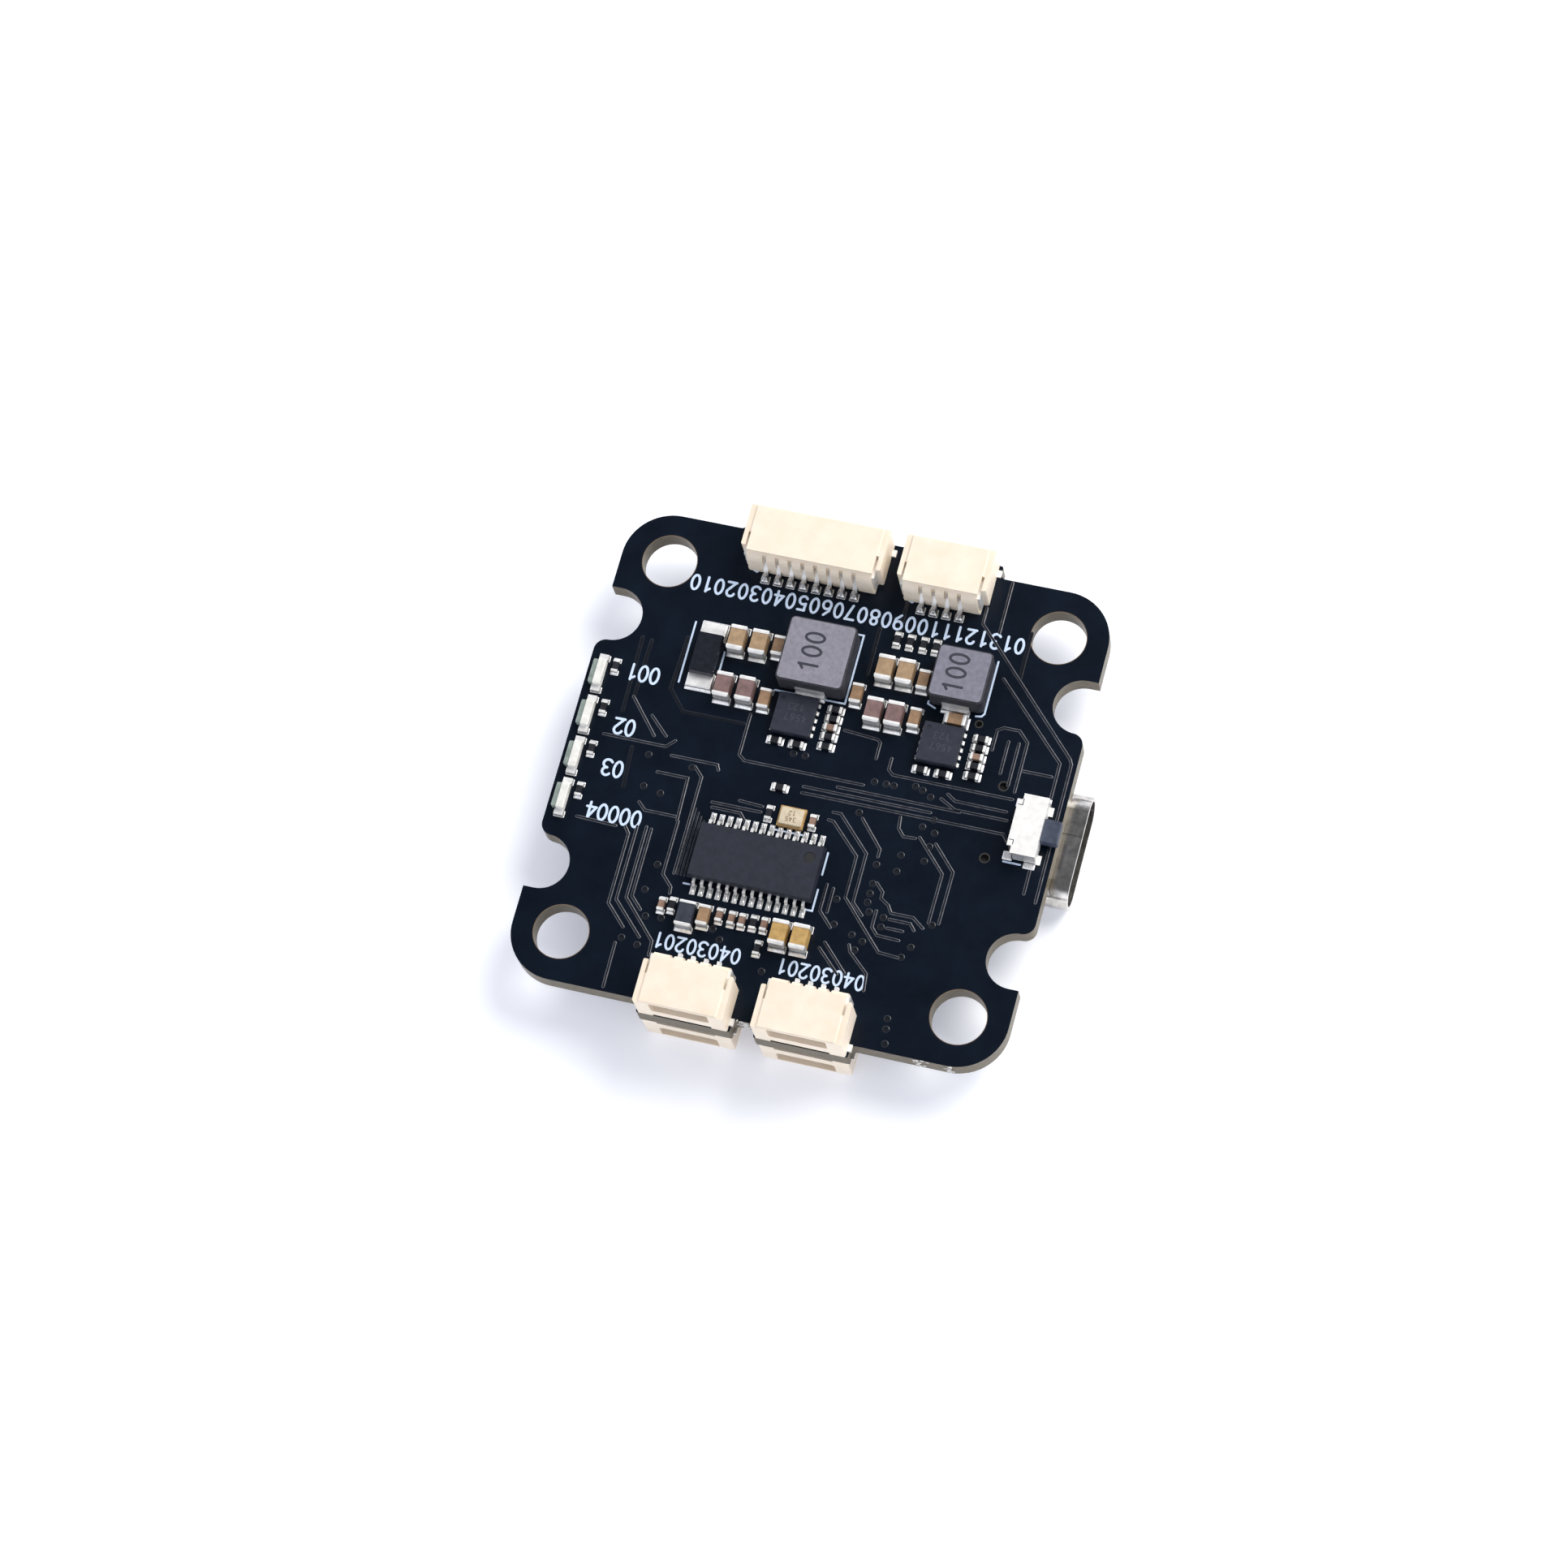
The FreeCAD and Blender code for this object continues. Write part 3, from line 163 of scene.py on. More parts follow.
def speckled(graph, dark, light, size_mm):
    """Base colour that drifts between two shades."""
    colour = graph.ramp(graph.noise(size_mm), (SPECKLE_LOW, dark), (SPECKLE_HIGH, light))
    graph.set("Base Color", colour)


def scaled(shade, factor):
    """A shade made lighter or darker."""
    return tuple(factor * value for value in shade)


LAMINATE_LAYER = 0.4


def solder_mask():
    """Black mask on the faces, layered glass-epoxy on the cut edges."""
    graph = Graph("black_mask", specular=0.14)
    mask = graph.ramp(graph.noise(2.6), (0.3, (0.0016, 0.0042, 0.0095)), (0.75, (0.0032, 0.0075, 0.0160)))
    place = graph.add("SeparateXYZ", {"Vector": graph.point}).outputs["Z"]
    weave = graph.noise(0.12, stretch=(0.25, 0.25, 3.0))
    layer = graph.math("PINGPONG", graph.math("DIVIDE", place, LAMINATE_LAYER * MM), 0.5)
    laminate = graph.ramp(weave, (0.25, (0.046, 0.038, 0.022)), (0.7, (0.180, 0.150, 0.100)))
    seam = graph.math("LESS_THAN", layer, 0.05)
    laminate = graph.mix(graph.math("MULTIPLY", seam, 0.45), laminate, (0.12, 0.085, 0.05, 1))
    face = graph.up()
    graph.set("Base Color", graph.mix(face, laminate, mask))
    graph.set("Roughness", graph.level(graph.noise(0.5), 0.26, 0.38))
    graph.bump(graph.noise(0.16, detail=2.0), 0.004, 0.2)
    return graph.material


def covered_copper(name, shoulder=1.0):
    """Mask where it lies over copper: pale on the sloped shoulders, partly thinner mask and partly a
    painted highlight, dark on the flat.
    """
    graph = Graph(name, specular=0.5)
    flat = graph.ramp(graph.noise(0.8), (0.3, (0.0030, 0.0045, 0.0080)), (0.7, (0.0055, 0.0075, 0.0125)))
    dim, pale = scaled((0.020, 0.022, 0.030), shoulder), scaled((0.115, 0.115, 0.135), shoulder)
    # Pale shoulder colours: thinner mask over the copper's edge plus a painted highlight along it.
    shoulder_highlight = graph.ramp(graph.noise(0.5), (0.25, dim), (0.75, pale))
    graph.set("Base Color", graph.mix(graph.up(0.97), shoulder_highlight, flat))
    graph.set("Roughness", graph.level(graph.noise(0.3), 0.16, 0.28))
    graph.bump(graph.noise(0.12), 0.003, 0.3)
    return graph.material


def ivory():
    """Moulded nylon of the wire sockets."""
    graph = Graph("socket_ivory", specular=0.35)
    speckled(graph, (0.78, 0.67, 0.53), (0.84, 0.74, 0.61), 1.6)
    graph.set("Roughness", graph.level(graph.noise(0.25), 0.42, 0.6))
    graph.set("Subsurface Weight", 0.18)
    graph.set("Subsurface Radius", (1.0, 0.6, 0.35))
    graph.set("Subsurface Scale", 0.25 * MM)
    graph.bump(graph.noise(0.05), 0.004, 0.35)
    return graph.material


def plated(name, dark, light, low, high, grain=0.2):
    """Bare or plated metal with a faint grain."""
    graph = Graph(name, metal=1.0)
    speckled(graph, dark, light, grain * 3)
    graph.set("Roughness", graph.level(graph.noise(grain), low, high))
    graph.bump(graph.noise(grain * 0.6), 0.003, 0.5)
    return graph.material


def solder():
    """Reflowed solder: bright, softly dimpled."""
    graph = Graph("solder", metal=1.0)
    speckled(graph, (0.60, 0.60, 0.60), (0.93, 0.92, 0.90), 0.22)
    graph.set("Roughness", graph.level(graph.noise(0.12), 0.20, 0.46))
    graph.bump(graph.noise(0.1), 0.010, 0.5)
    return graph.material


def pressed_powder(name, dark, light):
    """Inductor body: lacquer over pressed iron powder, darker down its sides."""
    graph = Graph(name, specular=0.3)
    top = graph.ramp(graph.noise(0.35), (0.3, dark), (0.7, light))
    grains = graph.ramp(graph.cells(0.11), (0.05, scaled(dark, 0.4)), (0.30, scaled(light, 1.2)))
    top = graph.mix(0.25, top, grains)
    side = graph.ramp(graph.noise(0.3), (0.3, (0.016, 0.016, 0.020)), (0.7, (0.040, 0.040, 0.050)))
    graph.set("Base Color", graph.mix(graph.up(0.85), side, top))
    graph.set("Roughness", graph.level(graph.noise(0.2), 0.5, 0.72))
    graph.bump(graph.cells(0.12), 0.012, 0.4)
    return graph.material


def moulded(name, dark, light, low=0.45, high=0.65, depth=0.006):
    """Dark moulding compound with a fine spark-eroded texture."""
    graph = Graph(name, specular=0.4)
    speckled(graph, dark, light, 0.5)
    graph.set("Roughness", graph.level(graph.noise(0.15), low, high))
    graph.bump(graph.noise(0.06, detail=4.0), depth, 0.5)
    return graph.material


def fired(name, dark, light, gloss=0.35):
    """Fired ceramic of a capacitor or resistor, with faint layers."""
    graph = Graph(name, specular=0.45)
    colour = graph.ramp(graph.noise(0.45), (0.3, dark), (0.72, light))
    layers = graph.noise(0.3, stretch=(0.3, 0.3, 9.0))
    graph.set("Base Color", graph.mix(graph.level(layers, 0.0, 0.25), colour, (*dark, 1)))
    graph.set("Roughness", graph.level(graph.noise(0.12), gloss, gloss + 0.18))
    graph.bump(graph.noise(0.07), 0.005, 0.4)
    return graph.material


def ink(name, colour):
    """Dull ink, slightly uneven in shade."""
    graph = Graph(name, rough=0.6, specular=0.3)
    speckled(graph, scaled(colour, 0.82), colour, 0.12)
    graph.bump(graph.noise(0.05), 0.004, 0.5)
    return graph.material


def lens():
    """Clear resin over a pale phosphor."""
    graph = Graph("led_lens", rough=0.15)
    speckled(graph, (0.30, 0.38, 0.34), (0.52, 0.60, 0.54), 0.4)
    graph.set("Transmission Weight", 0.45)
    graph.set("IOR", 1.5)
    graph.bump(graph.noise(0.2), 0.004, 0.3)
    return graph.material


def floor_paper():
    """Plain pale light table."""
    graph = Graph("pale_floor", specular=0.1)
    graph.set("Emission Color", (0.84, 0.86, 1.0, 1))
    graph.set("Emission Strength", 0.25)
    speckled(graph, (0.91, 0.92, 0.93), (0.93, 0.94, 0.95), 40)
    graph.set("Roughness", graph.level(graph.noise(8), 0.6, 0.75))
    return graph.material


MASK = solder_mask()
COPPER_UNDER = covered_copper("mask_over_copper")
# Vias and faint tracks: the same mask with its painted shoulder highlight dimmed.
VIA_MASK = covered_copper("mask_over_via", 0.2)
SOLDER = solder()
TIN = plated("tin", (0.76, 0.76, 0.75), (0.98, 0.97, 0.95), 0.45, 0.68)
SILK = ink("silkscreen", (0.62, 0.74, 0.92))
LAMINATE = ink("bare_laminate", (0.17, 0.12, 0.075))
FIBRE = ink("frayed_fibre", (0.78, 0.76, 0.73))
HOLE_LINING = ink("hole_lining", (0.030, 0.028, 0.026))
PRINT_DARK = ink("dark_print", (0.034, 0.036, 0.050))
PRINT_GREY = ink("laser_mark", (0.050, 0.054, 0.070))
PRINT_BROWN = ink("brown_print", (0.20, 0.13, 0.07))

FINISHES = {
    "black_mask": MASK,
    "socket_ivory": ivory(),
    "tin": TIN,
    "usb_nickel": plated("usb_nickel", (0.42, 0.405, 0.385), (0.74, 0.71, 0.67), 0.13, 0.25, 0.25),
    "black_moulding": moulded("black_moulding", (0.008, 0.008, 0.009), (0.018, 0.018, 0.020)),
    "gold_contact": plated("gold_contact", (0.72, 0.50, 0.20), (0.88, 0.66, 0.32), 0.18, 0.32),
    "switch_nickel": plated("switch_nickel", (0.91, 0.90, 0.87), (0.98, 0.97, 0.95), 0.44, 0.62, 0.35),
    "key_slate": moulded("key_slate", (0.026, 0.034, 0.058), (0.050, 0.063, 0.095), 0.4, 0.6),
    "spring_steel": plated("spring_steel", (0.6, 0.59, 0.57), (0.75, 0.74, 0.72), 0.15, 0.3),
    "inductor_grey": pressed_powder("inductor_grey", (0.150, 0.145, 0.172), (0.235, 0.226, 0.262)),
    "copper": plated("copper", (0.60, 0.26, 0.12), (0.75, 0.36, 0.18), 0.3, 0.45),
    "chip_epoxy": moulded("chip_epoxy", (0.010, 0.013, 0.024), (0.018, 0.022, 0.036)),
    "sensor_lid": plated("sensor_lid", (0.60, 0.60, 0.58), (0.75, 0.74, 0.72), 0.25, 0.4),
    "crystal_ceramic": fired("crystal_ceramic", (0.34, 0.20, 0.07), (0.55, 0.36, 0.15)),
    "crystal_lid": fired("crystal_lid", (0.50, 0.425, 0.305), (0.68, 0.585, 0.425), 0.3),
    "capacitor_tan": fired("capacitor_tan", (0.27, 0.182, 0.105), (0.43, 0.290, 0.168)),
    "capacitor_mauve": fired("capacitor_mauve", (0.14, 0.088, 0.082), (0.24, 0.148, 0.140)),
    "capacitor_gold": fired("capacitor_gold", (0.36, 0.225, 0.075), (0.56, 0.360, 0.130)),
    "ferrite_dark": fired("ferrite_dark", (0.018, 0.022, 0.033), (0.040, 0.047, 0.066)),
    "resistor_black": fired("resistor_black", (0.008, 0.009, 0.012), (0.020, 0.022, 0.028), 0.25),
    "led_white": moulded("led_white", (0.62, 0.61, 0.56), (0.80, 0.79, 0.74), 0.35, 0.5, 0.003),
    "led_lens": lens(),
}
# Nodes whose shade differs from the rest of their slot.
SHADES = {
    "small_inductor_body": pressed_powder("inductor_dark_grey",
                                          (0.125, 0.125, 0.158), (0.195, 0.192, 0.236)),
    "capacitor_0402_bodies": fired("capacitor_brown", (0.17, 0.105, 0.075), (0.30, 0.185, 0.135)),
    "capacitor_0603_bodies": fired("capacitor_umber", (0.22, 0.135, 0.076), (0.37, 0.230, 0.130)),
    "display_chip_body": moulded("display_chip", (0.0066, 0.0086, 0.0175), (0.0125, 0.0155, 0.0280)),
    "diode_body": moulded("diode_body", (0.008, 0.009, 0.014), (0.014, 0.016, 0.024), 0.15, 0.28),
}


def dress_nodes():
    """Give every CAD node the finish of its record slot."""
    for part in frame["record"]["subparts"]:
        mesh = nodes[part["node"]].data
        mesh.materials.clear()
        mesh.materials.append(SHADES.get(part["node"], FINISHES[part["material_slot"]]))


# ---- Mesh making ----------------------------------------------------------------
SHARP_ANGLE = math.radians(50)
END_STEPS = 6
HOOP_STEPS = 48
# A strip whose ends lie nearer than this is a hoop.
CLOSING_GAP = 0.01
TRACK_SLOPE = 0.065
# A mitre widens a strip by no more than one over this.
MITRE_LIMIT = 0.5
# A corner radius stays this much below half the side.
CORNER_SLACK = 1e-4
# Vertices that agree to this many decimals of a metre belong to one solid.
WELD_DIGITS = 7


class Piece:
    """Gathers faces in millimetres, then becomes one object that rides on the board."""

    def __init__(self, name, material, slot, smooth=False):
        self.name, self.material, self.slot, self.smooth = name, material, slot, smooth
        self.points, self.faces = [], []

    def add_rings(self, rings):
        """Add the points of equally long rings; returns the index at which each ring starts."""
        base, count = len(self.points), len(rings[0])
        self.points += [Vector(point) * MM for ring in rings for point in ring]
        return [base + level * count for level in range(len(rings))]

    def wall(self, low, high, count):
        """Faces between two rings that start at the indices low and high."""
        for k in range(count):
            after = (k + 1) % count
            self.faces.append((low + k, low + after, high + after, high + k))

    def stack(self, rings):
        """Closed skin through rings of points, capped at both ends."""
        starts, count = self.add_rings(rings), len(rings[0])
        for low, high in zip(starts, starts[1:]):
            self.wall(low, high, count)
        self.faces.append(tuple(range(starts[0] + count - 1, starts[0] - 1, -1)))
        self.faces.append(tuple(range(starts[-1], starts[-1] + count)))

    def loop(self, rings):
        """Closed skin through rings of points, from the last back to the first."""
        starts = self.add_rings(rings)
        for low, high in zip(starts, starts[1:] + starts[:1]):
            self.wall(low, high, len(rings[0]))

    def done(self):
        """Make the object and attach it to the board's body."""
        mesh = bpy.data.meshes.new(self.name)
        mesh.from_pydata(self.points, [], self.faces)
        mesh.materials.append(self.material)
        work = bmesh.new()
        work.from_mesh(mesh)
        bmesh.ops.recalc_face_normals(work, faces=work.faces)
        work.to_mesh(mesh)
        work.free()
        if self.smooth:
            mesh.shade_smooth()
            mesh.set_sharp_from_angle(angle=SHARP_ANGLE)
        thing = bpy.data.objects.new(self.name, mesh)
        bpy.context.scene.collection.objects.link(thing)
        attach(thing, BODY)


def surface(side):
    """Height of the board's top or underside, in millimetres."""
    return (board_high.z if side == TOP else board_low.z) / MM


def flat_ring(outline, side, height):
    """Outline of (x, y) points at a height off the board's face."""
    z = surface(side) + side * height
    return [(x, y, z) for x, y in outline]


def round_rect(x0, x1, y0, y1, radius, steps=3):
    """Outline of a rectangle with rounded corners."""
    radius = min(radius, (x1 - x0) / 2 - CORNER_SLACK, (y1 - y0) / 2 - CORNER_SLACK)
    corners = ((x1 - radius, y1 - radius, 0), (x0 + radius, y1 - radius, 90),
               (x0 + radius, y0 + radius, 180), (x1 - radius, y0 + radius, 270))
    outline = []
    for cx, cy, start in corners:
        for step in range(steps + 1):
            angle = math.radians(start + 90 * step / steps)
            outline.append((cx + radius * math.cos(angle), cy + radius * math.sin(angle)))
    return outline


def circle(cx, cy, radius, count=24):
    """Outline of a circle."""
    turns = [2 * math.pi * k / count for k in range(count)]
    return [(cx + radius * math.cos(turn), cy + radius * math.sin(turn)) for turn in turns]


def strip_outline(points, half):
    """Left and right edges of a mitred strip along (x, y) points."""
    left, right = [], []
    for index, here in enumerate(points):
        here = Vector(here)
        before = here - Vector(points[index - 1]) if index else None
        after = Vector(points[index + 1]) - here if index + 1 < len(points) else None
        runs = [run.normalized() for run in (before, after) if run is not None]
        along = sum(runs, Vector((0, 0))).normalized()
        across = Vector((-along.y, along.x))
        widen = 1 / max(MITRE_LIMIT, across.dot(Vector((-runs[0].y, runs[0].x))))
        left.append(here + across * half * widen)
        right.append(here - across * half * widen)
    return left, right


def round_end(end, before, half):
    """Points round the end of a strip, from its left edge to its right."""
    along = Vector(end) - Vector(before)
    start = math.atan2(along.y, along.x) + math.pi / 2
    turns = [start - math.pi * k / END_STEPS for k in range(1, END_STEPS)]
    return [Vector(end) + Vector((math.cos(turn), math.sin(turn))) * half for turn in turns]


def capsule(points, half):
    """Outline of a mitred strip with round ends."""
    left, right = strip_outline(points, half)
    return (left + round_end(points[-1], points[-2], half) + right[::-1]
            + round_end(points[0], points[1], half))


def add_strip(piece, points, width, height, side=TOP, slope=TRACK_SLOPE, lift=0.0):
    """Raised strip with sloped edges along (x, y) points; a hoop if it ends where it starts."""
    low, top = width / 2, max(width / 2 - slope, width / 4)
    if (Vector(points[0]) - Vector(points[-1])).length > CLOSING_GAP:
        piece.stack([flat_ring(capsule(points, low), side, lift),
                     flat_ring(capsule(points, top), side, lift + height)])
        return
    floor, crest = (surface(side) + side * rise for rise in (lift, lift + height))
    route = [points[-2], *points, points[1]]
    rings = []
    for a, d, b, c in zip(*strip_outline(route, low), *strip_outline(route, top)):
        rings.append([(a.x, a.y, floor), (b.x, b.y, crest), (c.x, c.y, crest), (d.x, d.y, floor)])
    piece.loop(rings[1:-2])


def add_hoop(piece, x, y, radii, heights):
    """Flat-sided hoop round (x, y), between two radii and two heights."""
    (inner, outer), (low, high) = radii, heights
    profile = [(inner, low), (inner, high), (outer, high), (outer, low)]
    rings = []
    for k in range(HOOP_STEPS):
        turn = 2 * math.pi * k / HOOP_STEPS
        cosine, sine = math.cos(turn), math.sin(turn)
        rings.append([(x + cosine * radius, y + sine * radius, z) for radius, z in profile])
    piece.loop(rings)


def islands(node):
    """Boxes of a node's separate solids, in millimetres."""
    mesh = nodes[node].data
    group = {}

    def find(key):
        while group[key] != key:
            group[key] = group[group[key]]
            key = group[key]
        return key

    keys = [tuple(round(value, WELD_DIGITS) for value in vertex.co) for vertex in mesh.vertices]
    for key in keys:
        group.setdefault(key, key)
    for edge in mesh.edges:
        a, b = (find(keys[index]) for index in edge.vertices)
        group[a] = b
    boxes = {}
    for key in sorted(group):
        low, high = boxes.setdefault(find(key), ([math.inf] * 3, [-math.inf] * 3))
        for axis in range(3):
            low[axis] = min(low[axis], key[axis])
            high[axis] = max(high[axis], key[axis])
    return [(Vector(low) / MM, Vector(high) / MM) for low, high in boxes.values()]


# ---- Pads and solder --------------------------------------------------------------
PAD_T = 0.035
PAD_GAP = 0.001
PAD_BEVEL = 0.02
PAD_CORNER = 0.06
# Pad beyond a metal end on its sides, and how much less of it there is on the side of the body.
PAD_MARGIN = 0.06
HEEL_TRIM = 0.05
# A fillet starts this far inside the pad's edge and ends this far inside the metal end.
PAD_INSET = 0.03
END_INSET = 0.012
FILLET_STEPS = 5
FILLET_CURVE = 2.6
# Corner radius of a fillet at its top, and how much it grows down to the pad.
FILLET_CORNER, FILLET_FLARE = 0.02, 0.07
BEAD_STEPS = 7
BEAD_TURN = math.radians(13)
# Corner radius of a bead as a share of its smaller half width.
BEAD_CORNER = 0.8
# Under a lead's foot: share of the foot that the bead covers, pad and solder behind the foot,
# and how far bead and fillet keep inside the pad.
FOOT_SHARE = 0.55
HEEL_PAD, HEEL_SOLDER = 0.12, 0.10
BEAD_INSET, FOOT_INSET = 0.02, 0.05
# Pads of the leadless chips: beyond each metal pad at its ends and sides, and the corner radius.
FLAT_PAD_ENDS, FLAT_PAD_SIDES, FLAT_PAD_CORNER = 0.12, 0.01, 0.03
# Round a terminal of the switch: margins of the pad, the solder's foot and its top, and its climb.
SWITCH_MARGINS, SWITCH_CLIMB = (0.1, 0.06, -0.01), 0.09
# Bodies, metal ends, reach of the pad beyond an end, share of the end's height that solder climbs.
TWO_ENDED = [
    ("capacitor_0603_bodies", "capacitor_0603_ends", 0.15, 0.42),
    ("capacitor_0402_bodies", "capacitor_0402_ends", 0.13, 0.5),
    ("resistor_bodies", "resistor_ends", 0.13, 0.6),
    ("ferrite_bead_body", "ferrite_bead_ends", 0.20, 0.45),
    ("diode_body", "diode_terminals", 0.14, 0.6),
    ("status_led_housings", "status_led_terminals", 0.0, 0.5),
    ("large_inductor_body", "large_inductor_terminals", 0.15, 0.25),
    ("small_inductor_body", "small_inductor_terminals", 0.15, 0.25),
]
# An end of the 0805 capacitors belongs to a body of one colour if its centre is nearer than this.
OWN_END_LIMIT = 1.0
# Foot length, pad beyond the tip, pad beside the lead, height of the bead and of the fillet.
CHIP_JOINTS = {
    "display_chip": (0.6, 0.10, 0.09, 0.17, 0.16),
    "processor": (0.55, 0.2, 0.05, 0.12, 0.14),
    "regulator": (0.4, 0.2, 0.08, 0.15, 0.14),
}
SOCKET_JOINT = (0.46, 0.07, 0.19, 0.34, 0.7)
LOW_SOCKET_JOINT = (0.46, -0.03, 0.03, 0.05, 0.08)
LOW_JOINT_SOCKETS = ("camera", "video_link")
pads = Piece("solder_pads", TIN, "tin")
joints = Piece("solder_fillets", SOLDER, "tin", smooth=True)


def add_pad(x0, x1, y0, y1, side, radius=PAD_CORNER):
    """Flat plated pad."""
    outline = round_rect(x0, x1, y0, y1, radius)
    inner = round_rect(x0 + PAD_BEVEL, x1 - PAD_BEVEL, y0 + PAD_BEVEL, y1 - PAD_BEVEL, radius)
    pads.stack([flat_ring(outline, side, PAD_GAP), flat_ring(outline, side, PAD_T * 0.6),
                flat_ring(inner, side, PAD_T)])


def add_fillet(pad, end, side, climb):
    """Hollow solder fillet from a pad's outline up the walls of a metal end."""
    rings = []
    for step in range(FILLET_STEPS + 1):
        part = step / FILLET_STEPS
        spread = (1 - part) ** FILLET_CURVE
        edges = [inner + (outer - inner) * spread for inner, outer in zip(end, pad)]
        outline = round_rect(*edges, FILLET_CORNER + FILLET_FLARE * spread)
        rings.append(flat_ring(outline, side, PAD_T + climb * part))
    joints.stack(rings)


def pad_for_end(low, high, centre, reach, climb):
    """Pad and fillet under one metal end of a part centred on centre."""
    side = TOP if low.z > 0 else UNDER
    middle = (low + high) / 2
    away = middle - centre
    edges = [low.x - PAD_MARGIN, high.x + PAD_MARGIN, low.y - PAD_MARGIN, high.y + PAD_MARGIN]
    along_x = abs(away.x) > abs(away.y)
    outward = away.x if along_x else away.y
    first = 0 if along_x else 2
    toe, heel = (first + 1, first) if outward > 0 else (first, first + 1)
    edges[toe] += math.copysign(reach, outward)
    edges[heel] += math.copysign(HEEL_TRIM, outward)
    add_pad(*edges, side)
    wetted = [edge + inset for edge, inset in zip(edges, (PAD_INSET, -PAD_INSET) * 2)]
    end = (low.x + END_INSET, high.x - END_INSET, low.y + END_INSET, high.y - END_INSET)
    add_fillet(wetted, end, side, (high.z - low.z) * climb)


def solder_two_ended(bodies, ends, reach, climb, limit=math.inf):
    """Pads and fillets for every end that lies within the limit of a body's centre."""
    centres = [(low + high) / 2 for low, high in islands(bodies)]
    for low, high in islands(ends):
        middle = (low + high) / 2
        nearest = min(centres, key=lambda centre: (centre - middle).length)
        if (nearest - middle).length < limit:
            pad_for_end(low, high, nearest, reach, climb)


def add_bulge(pad, side, height):
    """Rounded solder bead over a pad's outline."""
    x0, x1, y0, y1 = pad
    middle_x, middle_y = (x0 + x1) / 2, (y0 + y1) / 2
    rings = []
    for step in range(BEAD_STEPS):
        turn = BEAD_TURN * step
        share = math.cos(turn)
        half_x, half_y = (x1 - x0) / 2 * share, (y1 - y0) / 2 * share
        outline = round_rect(middle_x - half_x, middle_x + half_x, middle_y - half_y, middle_y + half_y,
                             BEAD_CORNER * min(half_x, half_y), 4)
        rings.append(flat_ring(outline, side, PAD_T * 0.5 + height * math.sin(turn)))
    joints.stack(rings)


def pad_for_foot(low, high, centre, shape):
    """Pad, bead and fillet under the foot of a lead that leaves a body centred on centre."""
    foot, beyond, spread, bulge, climb = shape
    side = TOP if centre.z > 0 else UNDER
    along_x = high.x - low.x > high.y - low.y
    away = (low + high) / 2 - centre
    out = math.copysign(1, away.x if along_x else away.y)
    near, far = (low.x, high.x) if along_x else (low.y, high.y)
    tip = far if out > 0 else near

    def edges(start, end, wider):
        lengthwise = sorted((tip + out * start, tip - out * end))
        if along_x:
            return [*lengthwise, low.y - wider, high.y + wider]
        return [low.x - wider, high.x + wider, *lengthwise]

    add_pad(*edges(beyond, foot + HEEL_PAD, spread), side)
    add_bulge(edges(beyond - BEAD_INSET, foot * FOOT_SHARE, spread - BEAD_INSET), side, bulge)
    wetted = edges(beyond - FOOT_INSET, foot + HEEL_SOLDER, spread - FOOT_INSET)
    add_fillet(wetted, edges(-foot * FOOT_SHARE, foot, 0.0), side, climb)


def solder_leads(body, leads, shape):
    """Pads and solder for every lead of a chip or socket."""
    low, high = in_mm(body)
    centre = (low + high) / 2
    for lead_low, lead_high in islands(leads):
        pad_for_foot(lead_low, lead_high, centre, shape)


def solder_everything():
    """Every pad and joint on both sides."""
    for colour in ("tan", "mauve", "gold"):
        bodies = "capacitor_0805_%s_bodies" % colour
        solder_two_ended(bodies, "capacitor_0805_ends", 0.20, 0.42, OWN_END_LIMIT)
    for row in TWO_ENDED:
        solder_two_ended(*row)
    for name, shape in CHIP_JOINTS.items():
        solder_leads(name + "_body", name + "_leads", shape)
    for name in SOCKETS:
        shape = LOW_SOCKET_JOINT if name in LOW_JOINT_SOCKETS else SOCKET_JOINT
        solder_leads(name + "_socket_housing", name + "_socket_contacts", shape)
    for low, high in islands("buck_chip_pads") + islands("flash_memory_pads"):
        side = TOP if low.z > 0 else UNDER
        add_pad(low.x - FLAT_PAD_ENDS, high.x + FLAT_PAD_ENDS, low.y - FLAT_PAD_SIDES,
                high.y + FLAT_PAD_SIDES, side, FLAT_PAD_CORNER)
    for low, high in islands("boot_switch_terminals"):
        pad, wetted, end = [(low.x - out, high.x + out, low.y - out, high.y + out)
                            for out in SWITCH_MARGINS]
        add_pad(*pad, TOP)
        add_fillet(wetted, end, TOP, SWITCH_CLIMB)


# ---- Tracks and vias ------------------------------------------------------------
TRACK_T = 0.035
TRACK_W = 0.24
FINE_W = 0.15
FAINT_W, FAINT_T = 0.3, 0.01
FINE_SLOPE = 0.05
# The fan of fine tracks beside the display chip: first start, far end, pitch and count.
FAN_X, FAN_Y, FAN_END_Y, FAN_PITCH, FAN_COUNT = -7.95, -3.7, -9.0, 0.28, 6
